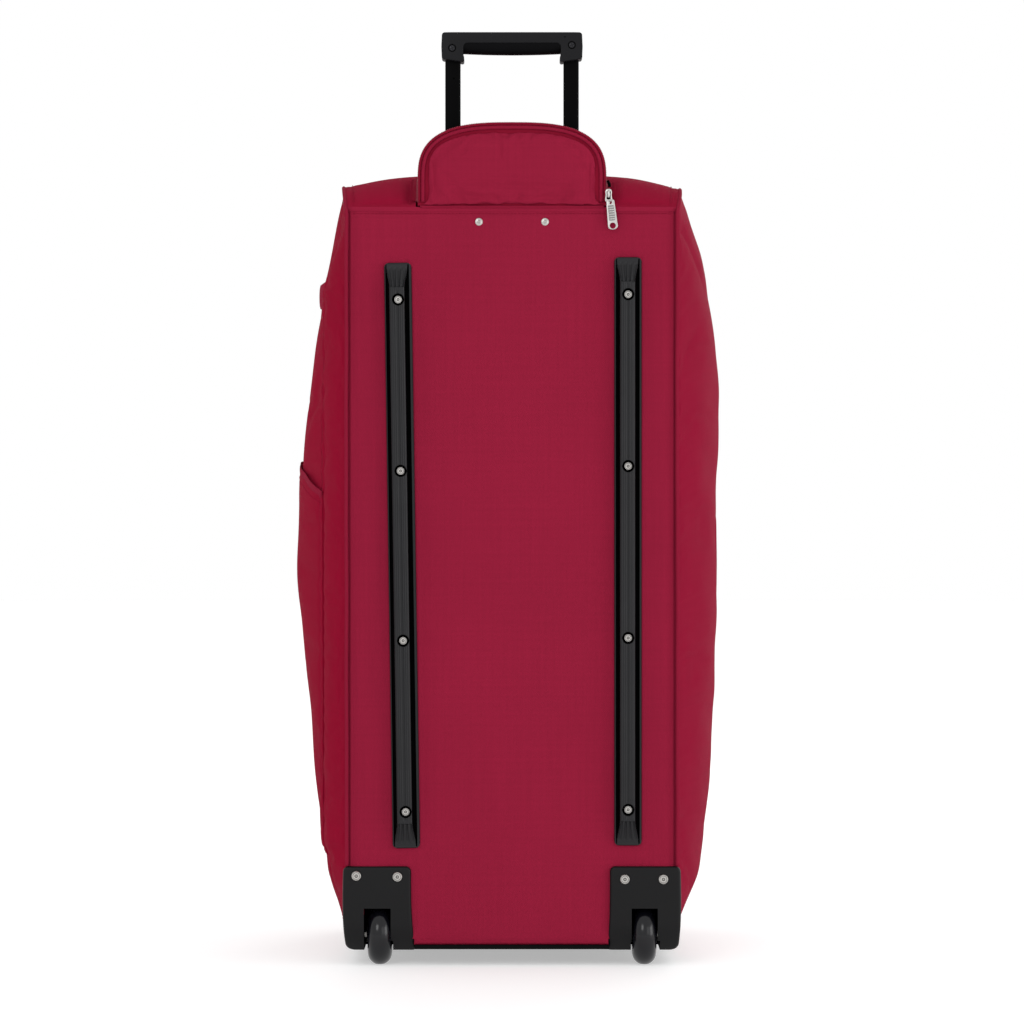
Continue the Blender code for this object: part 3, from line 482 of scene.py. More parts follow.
def cut_with(piece, *cutters, operation="DIFFERENCE"):
    """Booleans, applied at once, with cutters that are then removed."""
    for cutter in cutters:
        change = piece.modifiers.new("cut", "BOOLEAN")
        change.operation = operation
        change.object = cutter
        change.solver = "EXACT"
    apply_modifiers(piece)
    for cutter in cutters:
        bpy.data.objects.remove(cutter)


def loose_mesh(name, bm):
    """An object from a bmesh that rides on nothing, such as a cutter."""
    mesh = bpy.data.meshes.new(name)
    bm.to_mesh(mesh)
    bm.free()
    obj = bpy.data.objects.new(name, mesh)
    bpy.context.scene.collection.objects.link(obj)
    return obj


def box_cutter(low, high):
    low, high = Vector(low), Vector(high)
    bm = bmesh.new()
    bmesh.ops.create_cube(bm, size=1.0, matrix=Matrix.LocRotScale((low + high) / 2, None, high - low))
    return loose_mesh("cutter", bm)


def rod_cutter(start, end, radius, sides=32):
    start, end = Vector(start), Vector(end)
    bm = bmesh.new()
    turn = (end - start).to_track_quat("Z", "Y").to_matrix().to_4x4()
    bmesh.ops.create_cone(bm, cap_ends=True, segments=sides, radius1=radius, radius2=radius,
                          depth=(end - start).length, matrix=Matrix.Translation((start + end) / 2) @ turn)
    return loose_mesh("cutter", bm)


def blow_up(obj, held, pressure, slack, stiffness, bending, mass, quality, air=None):
    """Blows an object up as cloth over 20 frames, with the held points pinned."""
    group = obj.vertex_groups.new(name="held")
    group.add([int(i) for i in np.flatnonzero(held)], 1.0, "REPLACE")
    cloth = obj.modifiers.new("Cloth", "CLOTH")
    settings = cloth.settings
    settings.quality = quality
    settings.mass = mass
    settings.tension_stiffness = settings.compression_stiffness = stiffness
    settings.bending_stiffness = bending
    if air is not None:
        settings.air_damping = air
    settings.shrink_min = -slack
    settings.use_pressure = True
    settings.uniform_pressure_force = pressure
    settings.vertex_group_mass = "held"
    settings.effector_weights.gravity = 0.0
    cloth.collision_settings.use_collision = False
    cloth.point_cache.frame_start, cloth.point_cache.frame_end = 1, 20
    for now in range(1, 21):
        bpy.context.scene.frame_set(now)


def soft_relief(points, outward, pinned, pressure, slack, cap):
    """Blows up a grid of points as cloth, held where pinned, and returns how far each point moves out."""
    rows, cols = points.shape[:2]
    every = max(1, int(round(max(rows, cols) / 90)))
    r_index = np.unique(np.append(np.arange(0, rows, every), rows - 1))
    c_index = np.unique(np.append(np.arange(0, cols, every), cols - 1))
    coarse = points[np.ix_(r_index, c_index)]
    n, m = coarse.shape[:2]
    quads = grid_faces(n, m)[0][:, ::outward]
    mesh = bpy.data.meshes.new("cloth")
    mesh.from_pydata(coarse.reshape(-1, 3).tolist(), [], quads.tolist())
    obj = bpy.data.objects.new("cloth", mesh)
    bpy.context.scene.collection.objects.link(obj)
    blow_up(obj, pinned[np.ix_(r_index, c_index)], pressure, slack, stiffness=18, bending=0.6, mass=0.25,
            quality=6, air=3)
    graph = bpy.context.evaluated_depsgraph_get()
    shape = np.zeros(n * m * 3, np.float32)
    obj.evaluated_get(graph).data.vertices.foreach_get("co", shape)
    moved = shape.reshape(n, m, 3).astype(float) - coarse
    bpy.context.scene.frame_set(1)
    bpy.data.objects.remove(obj)
    lift = np.clip(np.sum(moved * grid_normals(coarse) * outward, axis=2), -cap, cap)
    wide = np.stack([np.interp(np.arange(cols), c_index, row) for row in lift])
    return np.stack([np.interp(np.arange(rows), r_index, column) for column in wide.T], -1)


# ---------------------------------------------------------------- materials
def new_material(name, colour, roughness, metallic=0.0, specular=0.5):
    made = bpy.data.materials.new(name)
    made.use_nodes = True
    shader = made.node_tree.nodes["Principled BSDF"]
    shader.inputs["Base Color"].default_value = (*colour, 1.0)
    shader.inputs["Roughness"].default_value = roughness
    shader.inputs["Metallic"].default_value = metallic
    shader.inputs["Specular IOR Level"].default_value = specular
    made.diffuse_color = (*colour, 1.0)
    return made


class Nodes:
    """Short ways to add and link a material's nodes."""

    def __init__(self, made):
        self.tree = made.node_tree
        self.shader = self.tree.nodes["Principled BSDF"]

    def add(self, kind, **settings):
        node = self.tree.nodes.new(kind)
        for key, value in settings.items():
            setattr(node, key, value)
        return node

    def link(self, out, into):
        self.tree.links.new(out, into)

    def math(self, operation, a, b):
        node = self.add("ShaderNodeMath", operation=operation)
        for socket, value in zip(node.inputs, (a, b)):
            if isinstance(value, (int, float)):
                socket.default_value = value
            else:
                self.link(value, socket)
        return node.outputs[0]

    def noise(self, vector, scale, detail=3.0):
        node = self.add("ShaderNodeTexNoise")
        node.inputs["Scale"].default_value = scale
        node.inputs["Detail"].default_value = detail
        node.inputs["Roughness"].default_value = 0.55
        self.link(vector, node.inputs["Vector"])
        return node.outputs["Fac"]

    def scaled(self, vector, scale):
        node = self.add("ShaderNodeMapping")
        node.inputs["Scale"].default_value = scale
        self.link(vector, node.inputs["Vector"])
        return node.outputs["Vector"]

    def spread(self, fac, low, high):
        """Maps a 0 to 1 value onto low to high."""
        node = self.add("ShaderNodeMapRange")
        node.inputs["To Min"].default_value = low
        node.inputs["To Max"].default_value = high
        self.link(fac, node.inputs["Value"])
        return node.outputs["Result"]

    def tint(self, colour, *factors):
        """The colour times the product of the factors, into Base Color."""
        total = factors[0]
        for factor in factors[1:]:
            total = self.math("MULTIPLY", total, factor)
        node = self.add("ShaderNodeVectorMath", operation="SCALE")
        node.inputs[0].default_value = colour
        self.link(total, node.inputs["Scale"])
        self.link(node.outputs["Vector"], self.shader.inputs["Base Color"])

    def bump(self, height, distance):
        node = self.add("ShaderNodeBump")
        node.inputs["Strength"].default_value = 1.0
        node.inputs["Distance"].default_value = distance
        self.link(height, node.inputs["Height"])
        self.link(node.outputs["Normal"], self.shader.inputs["Normal"])


def weave(name, colour, pitch=0.0011, depth=0.00022, contrast=0.10):
    """Plain-weave cloth on a UV map in metres: crossing threads, slubs and a soft variation of colour."""
    made = new_material(name, colour, 0.80, specular=0.03)
    n = Nodes(made)
    where = n.add("ShaderNodeTexCoord")
    split = n.add("ShaderNodeSeparateXYZ")
    n.link(where.outputs["UV"], split.inputs[0])
    rate = math.pi / pitch
    warp = n.math("SINE", n.math("MULTIPLY", split.outputs["X"], rate), 0.0)
    weft = n.math("SINE", n.math("MULTIPLY", split.outputs["Y"], rate), 0.0)
    warp_round = n.math("ABSOLUTE", warp, 0.0)
    weft_round = n.math("ABSOLUTE", weft, 0.0)
    crossing = n.math("MULTIPLY", n.math("SIGN", warp, 0.0), n.math("SIGN", weft, 0.0))
    over = n.math("GREATER_THAN", crossing, 0.0)
    under = n.math("SUBTRACT", 1.0, over)
    threads = n.math("ADD", n.math("MULTIPLY", warp_round, over), n.math("MULTIPLY", weft_round, under))
    fine = n.noise(n.scaled(where.outputs["UV"], (1400.0, 1400.0, 1.0)), 1.0, 1.0)
    height = n.math("ADD", threads, n.math("MULTIPLY", fine, 0.5))
    n.bump(height, depth)
    warp_slub = n.noise(n.scaled(where.outputs["UV"], (420.0, 9.0, 1.0)), 1.0, 2.0)
    weft_slub = n.noise(n.scaled(where.outputs["UV"], (9.0, 420.0, 1.0)), 1.0, 2.0)
    cloud = n.noise(where.outputs["Object"], 7.0, 3.0)
    n.tint(colour, n.spread(threads, 1 - contrast, 1 + contrast * 0.6), n.spread(warp_slub, 0.94, 1.06),
           n.spread(weft_slub, 0.95, 1.05), n.spread(cloud, 0.93, 1.07), n.spread(fine, 0.90, 1.10))
    n.link(n.spread(cloud, 0.75, 0.88), n.shader.inputs["Roughness"])
    return made


def plastic(name, colour, roughness, grain=900.0, depth=0.00005, specular=0.3):
    """Moulded plastic: a fine spark-eroded grain, a little dust and handling shine."""
    made = new_material(name, colour, roughness, specular=specular)
    n = Nodes(made)
    where = n.add("ShaderNodeTexCoord").outputs["Object"]
    n.bump(n.noise(where, grain, 2.0), depth)
    cloud = n.noise(where, 18.0, 4.0)
    n.tint(colour, n.spread(cloud, 0.85, 1.2))
    shine = n.spread(n.noise(where, 60.0, 3.0), roughness - 0.06, roughness + 0.1)
    n.link(shine, n.shader.inputs["Roughness"])
    return made


def metal(name, colour, roughness):
    """Plated metal with fine scratches."""
    made = new_material(name, colour, roughness, metallic=1.0)
    n = Nodes(made)
    where = n.add("ShaderNodeTexCoord").outputs["Object"]
    scratch = n.noise(n.scaled(where, (900.0, 900.0, 900.0)), 1.0, 3.0)
    n.bump(scratch, 0.00002)
    n.tint(colour, n.spread(n.noise(where, 80.0, 3.0), 0.9, 1.08))
    n.link(n.spread(scratch, roughness - 0.05, roughness + 0.08), n.shader.inputs["Roughness"])
    return made


RED = weave("red polyester", (0.253, 0.0108, 0.0350))
# The side fabrics are copies of the red with painted light and shade: the left darker and deeper in colour,
# the right a little lighter.
RED_SIDE_SHADED = {-1: weave("red polyester left with painted shade", (0.246, 0.0036, 0.0225)),
            1: weave("red polyester right with painted light", (0.250, 0.0062, 0.0290))}
# The top fabric is the red with painted shade: darker and deeper in colour than the back.
RED_TOP_SHADED = weave("red polyester top with painted shade", (0.247, 0.0052, 0.0262))
RED_PIPE = weave("red piping", (0.238, 0.0095, 0.0315), pitch=0.0009)
TAPE = weave("red zip tape", (0.215, 0.0060, 0.0230), pitch=0.0008)
THREAD = weave("red thread", (0.250, 0.0090, 0.0320), pitch=0.0004)
WEBBING = weave("red webbing", (0.225, 0.0070, 0.0260), pitch=0.0018, depth=0.0005, contrast=0.22)
LINING = weave("grey lining", (0.110, 0.110, 0.115), pitch=0.0008)
BOARD = plastic("grey board", (0.16, 0.16, 0.165), 0.6)
BLACK = plastic("black plastic", (0.0040, 0.0040, 0.0044), 0.46, specular=0.17)
RIB_BLACK = plastic("ribbed black plastic", (0.0085, 0.0085, 0.0098), 0.44, grain=500.0, specular=0.24)
GRIP_BLACK = plastic("grip plastic", (0.0045, 0.0045, 0.0055), 0.50, grain=700.0, depth=0.00008,
                     specular=0.14)
# Black plastic made darker still, painted shade for undersides: the grip's bar and the base tray.
UNDERSIDE_SHADE_BLACK = plastic("grip underside plastic with painted shade", (0.0016, 0.0016, 0.0020), 0.50, grain=700.0, depth=0.00008,
                      specular=0.05)
TUBE_BLACK = plastic("black coated tube", (0.0016, 0.0016, 0.0017), 0.40, grain=1500.0, depth=0.00001,
                     specular=0.02)
# Near-black painted shade, for channels, slots, gaps and recesses where shade falls.
PAINTED_SHADE_BLACK = plastic("painted shade black", (0.0008, 0.0008, 0.0009), 0.7, specular=0.01)
RUBBER = plastic("wheel rubber", (0.0022, 0.0022, 0.0036), 0.16, grain=300.0, depth=0.00002, specular=0.34)
NICKEL = metal("satin nickel", (0.46, 0.446, 0.425), 0.34)
NICKEL_SHADE = metal("nickel with painted shade", (0.22, 0.215, 0.205), 0.5)
SCREW = metal("dark screw", (0.030, 0.030, 0.033), 0.40)
ZINC = metal("plated zinc", (0.56, 0.55, 0.53), 0.34)
ZINC_DARK = metal("tarnished zinc", (0.24, 0.235, 0.23), 0.45)
TEETH = plastic("red zip teeth", (0.190, 0.0060, 0.0220), 0.45, specular=0.4)


# ---------------------------------------------------------------- helpers for pads and outlines
def mesh_points(piece):
    co = np.zeros(len(piece.data.vertices) * 3, np.float32)
    piece.data.vertices.foreach_get("co", co)
    return co.reshape(-1, 3).astype(float)


def plane_uv(piece):
    """A flat UV map in metres along X and Z, for a remeshed pad."""
    mesh = piece.data
    loops = np.zeros(len(mesh.loops), np.int32)
    mesh.loops.foreach_get("vertex_index", loops)
    layer = mesh.uv_layers.get("UVMap") or mesh.uv_layers.new(name="UVMap")
    layer.data.foreach_set("uv", mesh_points(piece).astype(np.float32)[loops][:, [0, 2]].ravel())


def remesh(piece, voxel):
    change = piece.modifiers.new("remesh", "REMESH")
    change.mode = "VOXEL"
    change.voxel_size = voxel
    apply_modifiers(piece)


def plump(piece, held, voxel, pressure, cap, slack):
    """The padded pass: remesh, blow up as cloth with the held points pinned, cap the movement, smooth."""
    look = piece.data.materials[0]
    remesh(piece, voxel)
    start = mesh_points(piece)
    blow_up(piece, held(start), pressure, slack, stiffness=12, bending=0.3, mass=0.3, quality=5)
    apply_modifiers(piece)
    moved = mesh_points(piece) - start
    far = np.linalg.norm(moved, axis=1, keepdims=True)
    start += moved * np.minimum(1.0, cap / np.maximum(far, 1e-9))
    piece.data.vertices.foreach_set("co", start.astype(np.float32).ravel())
    bpy.context.scene.frame_set(1)
    smooth = piece.modifiers.new("smooth", "SUBSURF")
    smooth.levels = smooth.render_levels = 1
    apply_modifiers(piece)
    piece.data.shade_smooth()
    piece.data.materials.clear()
    piece.data.materials.append(look)
    plane_uv(piece)


def press(piece, shift):
    """Moves each point by shift(points), an array the same shape."""
    points = mesh_points(piece)
    points = points + shift(points)
    piece.data.vertices.foreach_set("co", points.astype(np.float32).ravel())
    piece.data.update()


def inset(outline, by):
    """The outline moved inwards, for an outline that runs anticlockwise."""
    outline = np.asarray(outline, float)
    run = np.roll(outline, -1, axis=0) - np.roll(outline, 1, axis=0)
    run /= np.linalg.norm(run, axis=1, keepdims=True)
    return outline + np.stack([-run[:, 1], run[:, 0]], -1) * by


def arch_outline(half, low, straight, top, steps=26):
    """Straight sides and a squarish arch, anticlockwise seen with the first axis to the right."""
    side = [(half, low + (straight - low) * k / 6) for k in range(6)]
    for k in range(steps):
        angle = math.pi / 2 * k / steps
        side.append((half * math.cos(angle) ** 0.69, straight + (top - straight) * math.sin(angle) ** 0.69))
    left = [(-x, z) for x, z in reversed(side)]
    return np.array(side + [(0.0, top)] + left)


def lid_outline(grow=0.0):
    shape = rounded_rect(LID_HALF + grow, (LID_HIGH - LID_LOW) / 2 + grow, LID_CORNER + grow, 8)
    return shape + (0.0, (LID_LOW + LID_HIGH) / 2)


def round_trip(outline, pitch=0.004):
    """Even points round a closed outline."""
    three = np.column_stack([outline, np.zeros(len(outline))])
    return resample(three, pitch, closed=True)[:, :2]


# ---------------------------------------------------------------- the bag's fabric shell
def make_back():
    xs = spaced(-0.1632, 0.1632, 0.0035, (-0.1600, 0.1600, -0.1255, 0.1255, -0.0890, 0.0995), 0.0008, 0.0035)
    zs = spaced(BASE_Z, 0.7430, 0.0035, (0.7395, 0.0235), 0.0007, 0.004)
    x, z = np.meshgrid(xs, zs)
    relief = 0.0003 * ripple(x, z, 0.055, 3) + 0.0004 * ripple(x, z, 0.14, 5, 3.0)
    for side, _ in SIDES:
        skid = SKID_X[side] + np.tan(SKID_LEAN[side]) * (z - sum(SKID_ENDS[side]) / 2)
        away = np.abs(x - skid)
        relief = relief + 0.0010 * step(away, 0.016, 0.032) - 0.0004
    middle = np.maximum(0, 1 - (x / 0.085) ** 2)
    relief = relief + 0.0012 * middle * step(z, 0.03, 0.12) * step(-z, -0.735, -0.66)
    edge = np.minimum(0.1612 - np.abs(x), z - BASE_Z + 0.001)
    relief = np.minimum(relief, 0.0016) * step(edge, 0.0015, 0.010) * step(0.7430 - z, 0.0, 0.008)
    relief -= 0.0013 * step(-edge, -0.0030, -0.0006) + 0.0006 * step(z, 0.7405, 0.7430)
    relief -= 0.0005 * ridge(z, 0.7397, 0.0009) + 0.0004 * ridge(z, 0.7350, 0.0020)
    relief -= 0.0005 * ridge(np.abs(x), 0.1562, 0.0011)
    points = np.stack([x, np.full_like(x, BACK_Y + 0.0004), z], -1)
    panel = cloth_panel("back_fabric", points, "bag", (RED, LINING), relief=relief,
                        replaces=("back_panel",))
    cut_with(panel, *[side_box(side, 0.1155, 0.1455, (BACK_Y - 0.02, BACK_Y + 0.02), (-0.01, 0.064))
                      for side, _ in SIDES])
    cut_with(panel, *[side_box(side, 0.1010, 0.1750, (BACK_Y - 0.02, BACK_Y + 0.02), (-0.01, 0.050))
                      for side, _ in SIDES])
    cut_with(panel, *[side_box(side, near, 0.1770, (BACK_Y - 0.02, BACK_Y + 0.02), (-0.02, 0.0265))
                      for side, near in ((-1, 0.0962), (1, 0.0947))])
    panel.data.shade_smooth()
    for k, (height, reach) in enumerate(((0.7397, 0.155), (0.0262, 0.088))):
        line = level_line(reach, BACK_Y + 0.0002, height, 60)
        stitches(f"back_stitch_{k}", line, (0, -1, 0), "bag")
    return panel


SIDE_LIFT = {}


def lift_at(side, s, z):
    """How far the finished side fabric stands out from its plain shape."""
    if side not in SIDE_LIFT:
        return 0.0
    ss, vs, lift = SIDE_LIFT[side]
    v = np.clip((z - BASE_Z) / (edge_z(side, s) - 0.0002 - BASE_Z), 0, 1)
    i = np.clip(np.searchsorted(ss, s) - 1, 0, len(ss) - 2)
    j = np.clip(np.searchsorted(vs, v) - 1, 0, len(vs) - 2)
    f, g = np.clip((s - ss[i]) / (ss[i + 1] - ss[i]), 0, 1), (v - vs[j]) / (vs[j + 1] - vs[j])
    return ((lift[j, i] * (1 - f) + lift[j, i + 1] * f) * (1 - g)
            + (lift[j + 1, i] * (1 - f) + lift[j + 1, i + 1] * f) * g)


def side_points(side, s, z, out=0.0):
    """World points on a side's outer face, moved out by a distance."""
    s, z = np.broadcast_arrays(np.asarray(s, float), np.asarray(z, float))
    return np.stack([side * (side_x(side, s, z) + lift_at(side, s, z) + out), y_at(s), z], -1)


def side_relief(side, s, z):
    y = y_at(s)
    hold = 1 - np.abs(1 - 2 * s) ** 6
    relief = hold * (0.0009 * ripple(y, z, 0.075, 11 + side) + 0.0014 * ripple(y, z, 0.17, 21 + side, 1.6))
    if side < 0:
        relief = relief * step(s, STRIP, STRIP + 0.12)
        for seam, wing in ((STRIP, 1), (1 - STRIP, -1)):
            away = (s - seam) * DEPTH * wing
            relief -= 0.0011 * ridge(away, 0.0, 0.0010) - 0.0006 * ridge(away, 0.0030, 0.0016)
            relief -= 0.0005 * ridge(away, 0.0066, 0.0009)
        relief += creases(y, z, (-0.118, 0.105, -0.060, 0.055, 0.006, 0.0030),
                                (-0.122, 0.590, -0.075, 0.520, 0.008, 0.0022),
                                (-0.060, 0.640, 0.020, 0.560, 0.010, 0.0022))
    else:
        relief += creases(y, z, (-0.164, 0.735, -0.085, 0.672, 0.0055, 0.0026),
                                (-0.125, 0.628, -0.166, 0.588, 0.0060, 0.0020),
                                (-0.168, 0.112, -0.095, 0.062, 0.0060, 0.0026),
                                (0.110, 0.640, 0.030, 0.560, 0.009, 0.0022))
    return relief * step(hold, 0.0, 0.35) * step(z, 0.02, 0.08) * step(edge_z(side, s) - z, 0.0, 0.035)


def side_box(side, x_low, x_high, y, z):
    """A box cutter on one side, from two distances out, a (low, high) pair of y and one of z."""
    a, b = sorted((side * x_low, side * x_high))
    return box_cutter((a, y[0], z[0]), (b, y[1], z[1]))


def make_side(side, name):
    marks = (STRIP, 1 - STRIP) if side < 0 else ()
    ss = spaced(0.0, 1.0, 0.0125, marks + (0.0, 1.0), 0.0028, 0.03)
    vs = np.linspace(0, 1, 190)
    s, v = np.meshgrid(ss, vs)
    high = edge_z(side, s) - 0.0002
    z = BASE_Z + (high - BASE_Z) * v
    points = side_points(side, s, z)
    pinned = (np.abs(1 - 2 * s) > 0.985) | (v < 0.001) | (v > 0.999)
    if side < 0:
        pinned = pinned | (np.abs(np.minimum(s, 1 - s) - STRIP) < 0.006)
    ends = step(z, 0.03, 0.10) * step(edge_z(side, s) - z, 0.0, 0.05)
    relief = side_relief(side, s, z) + soft_relief(points, side, pinned, 3.0, 0.035, 0.0050) * 0.5 * ends
    SIDE_LIFT[side] = (ss, vs, relief)
    piece = cloth_panel(f"side_fabric_{name}", points, "bag", (RED_SIDE_SHADED[side], LINING),
                        outward=side, relief=relief, replaces=(f"side_gusset_{name}",))
    cut_with(piece, side_box(side, 0.150, 0.190, (-0.20, -0.150), (-0.01, 0.052)))
    piece.data.shade_smooth()
    for k, seam in enumerate(marks):
        shift = 0.0068 / DEPTH * (1 if k == 0 else -1)
        zs = np.linspace(BASE_Z + 0.01, 0.765, 90)
        line = side_points(side, np.full(90, seam + shift), zs, 0.0001)
        stitches(f"side_stitch_{name}_{k}", line, (side, 0, 0), "bag")
    zs = np.linspace(BASE_Z + 0.01, 0.740, 90)
    line = side_points(side, np.full(90, 0.965), zs, 0.0004)
    stitches(f"side_edge_stitch_{name}_0", line, (side, 0, 0), "bag")
    return piece


def hatch_outline(grow=0.0):
    """The U of the handle hatch in X and Y, open at the back."""
    half, far, straight = FLAP_HALF + 0.002 + grow, -0.086 + grow, -0.135
    steps = 20
    right = [(half, BACK_Y - 0.03), (half, BACK_Y + 0.004), (half, straight)]
    for k in range(1, steps):
        angle = math.pi / 2 * k / steps
        right.append((half * math.cos(angle) ** 0.8, straight + (far - straight) * math.sin(angle) ** 0.8))
    return np.array(right + [(0.0, far)] + [(-x, y) for x, y in reversed(right)])


def prism_cutter(outline, low, high, axis="Z"):
    """A closed prism on an outline in X and Y (axis Z) or X and Z (axis Y), used once and removed."""
    bm = bmesh.new()
    place = (lambda a, b, c: (a, b, c)) if axis == "Z" else (lambda a, b, c: (a, c, b))
    lower = [bm.verts.new(place(a, b, low)) for a, b in outline]
    upper = [bm.verts.new(place(a, b, high)) for a, b in outline]
    bm.faces.new(lower)
    bm.faces.new(upper)
    n = len(outline)
    for k in range(n):
        bm.faces.new((lower[k], lower[(k + 1) % n], upper[(k + 1) % n], upper[k]))
    bmesh.ops.recalc_face_normals(bm, faces=bm.faces)
    return loose_mesh("cutter", bm)


def make_top():
    us = spaced(-1.0, 1.0, 0.022, (-1.0, 1.0), 0.006, 0.03)
    ss = 0.5 - 0.5 * np.cos(math.pi * np.linspace(0, 1, 110))
    u, s = np.meshgrid(us, ss)
    half = np.where(u < 0, edge_half(-1, s), edge_half(1, s))
    x = half * u
    y = BACK_Y + 0.0003 + (DEPTH - 0.0006) * s
    points = np.stack([x, y, top_z(x, s)], -1)
    relief = 0.0008 * ripple(x, y, 0.06, 31) + 0.0012 * ripple(x, y, 0.15, 33)
    relief = relief * (1 - np.abs(1 - 2 * s) ** 4)
    relief = relief * (1 - np.abs(u) ** 6)
    relief -= 0.0010 * ridge(half - np.abs(x), 0.0065, 0.0012)
    relief += creases(x, y, (-0.150, -0.100, -0.060, -0.030, 0.010, 0.0030),
                            (0.150, 0.060, 0.040, 0.020, 0.012, 0.0030))
    beside = ridge(np.abs(x) - FLAP_HALF, 0.0075, 0.0055) * step(s, 0.004, 0.03) * step(-s, -0.22, -0.09)
    relief -= beside * np.where(x < 0, 0.0055, 0.0030)
    relief -= 0.0016 * ridge(s, 0.016, 0.008) * step(np.abs(x), 0.095, 0.11) * step(-np.abs(x), -0.155, -0.14)
    panel = cloth_panel("top_fabric", points, "bag", (RED_TOP_SHADED, TAPE), relief=relief,
                        replaces=("top_panel",))
    cut_with(panel, prism_cutter(hatch_outline(), 0.70, 0.86))
    panel.data.shade_smooth()
    fold = np.array([(x, BACK_Y + 0.0008, SEAM_Z - 0.0012) for x in np.linspace(-0.1622, 0.1622, 50)])
    swept("back_top_fold", fold, (0, -1, 0), rounded_rect(0.0023, 0.0006, 0.0004, 2), "bag",
          RED)
    return panel


def hatch_path(grow, lift, pitch=0.002):
    """Points round the hatch's rim, on the top fabric."""
    flat = hatch_outline(grow)[1:-1]
    flat = np.column_stack([flat, np.zeros(len(flat))])
    spots = resample(flat, pitch)
    spots = spots[spots[:, 1] > BACK_Y + 0.006]
    spots[:, 2] = top_z(spots[:, 0], depth_of(spots[:, 1])) + lift
    return spots


def top_normals(path):
    """Upward unit vectors of the top fabric at points of a path."""
    d = 0.0008
    x, s = path[:, 0], depth_of(path[:, 1])
    slope_x = (top_z(x + d, s) - top_z(x - d, s)) / (2 * d)
    slope_y = (top_z(x, s + d / DEPTH) - top_z(x, s - d / DEPTH)) / (2 * d)
    up = np.stack([-slope_x, -slope_y, np.ones_like(x)], -1)
    return up / np.linalg.norm(up, axis=1, keepdims=True)


def make_hatch_zip():
    """Zip tape and teeth round the hatch, the half that stays on the bag."""
    tape = hatch_path(0.0006, -0.0006, 0.003)
    flat = [(-0.0030, -0.0004), (0.0030, -0.0004), (0.0030, 0.0006), (-0.0030, 0.0006)]
    swept("hatch_zip_tape", tape, top_normals(tape), flat, "bag", TAPE, crisp=30)
    teeth = hatch_path(-0.0010, -0.0012, 0.0015)
    repeated("hatch_zip_teeth", TOOTH, teeth, top_normals(teeth), 0.0016, "bag", TEETH,
             crisp=30)
    seam = hatch_path(0.0060, -0.0022, 0.003)
    stitches("hatch_stitch", seam, top_normals(seam), "bag")


def edge_path(side, inset_by=0.0, lift=0.0, low=0.0, high=1.0):
    """Points along the top edge of a side, from the back to the front."""
    s = 0.5 - 0.5 * np.cos(math.pi * np.linspace(low, high, 90))
    x = side * (edge_half(side, s) - inset_by)
    z = top_z(x, s) if inset_by else edge_z(side, s)
    return np.stack([x, y_at(s), z + lift], -1)


def make_piping(side, name):
    """Piping up the back seam, over the top edge and down the front seam, in one length."""
    x, y = BACK_HALF - 0.0004, BACK_Y - 0.0014
    height = np.linspace(0.0985, 0.7440, 110)
    up = np.stack([side * (x + 0.0004 * ripple(height, height * 0, 0.09, 41 + side)), np.full(110, y),
                   height], -1)
    over = edge_path(side, low=0.03, high=0.97)
    over = over + (side * 0.0002, 0.0, -0.0006)
    down = np.stack([np.full(100, side * (FRONT_HALF - 0.0002)), np.full(100, FRONT_Y + 0.0010),
                     np.linspace(0.7425, BASE_Z + 0.004, 100)], -1)
    path = resample(np.concatenate([up, over, down]), 0.004)
    for _ in range(2):
        path[1:-1] = (path[:-2] + path[1:-1] * 2 + path[2:]) / 4
    front = step(path[:, 1], BACK_Y + 0.01, FRONT_Y - 0.01)[:, None]
    outward = np.array((side * 0.7, -0.7, 0.0)) * (1 - front) + np.array((side * 0.7, 0.7, 0.0)) * front
    over_top = (step(path[:, 2], 0.745, 0.760) * step(path[:, 1], BACK_Y, BACK_Y + 0.02)
                * step(-path[:, 1], -FRONT_Y, 0.02 - FRONT_Y))[:, None]
    outward = outward * (1 - over_top) + over_top * np.array((side * 0.7, 0.0, 0.7))
    swept(f"piping_{name}_cord", path, outward, circle(0.0019, 12), "bag", RED_PIPE,
          replaces=(f"piping_{name}",))
    seam = edge_path(side, 0.0085, 0.0000, low=0.10, high=0.93)
    stitches(f"top_stitch_{name}", seam, top_normals(seam), "bag")


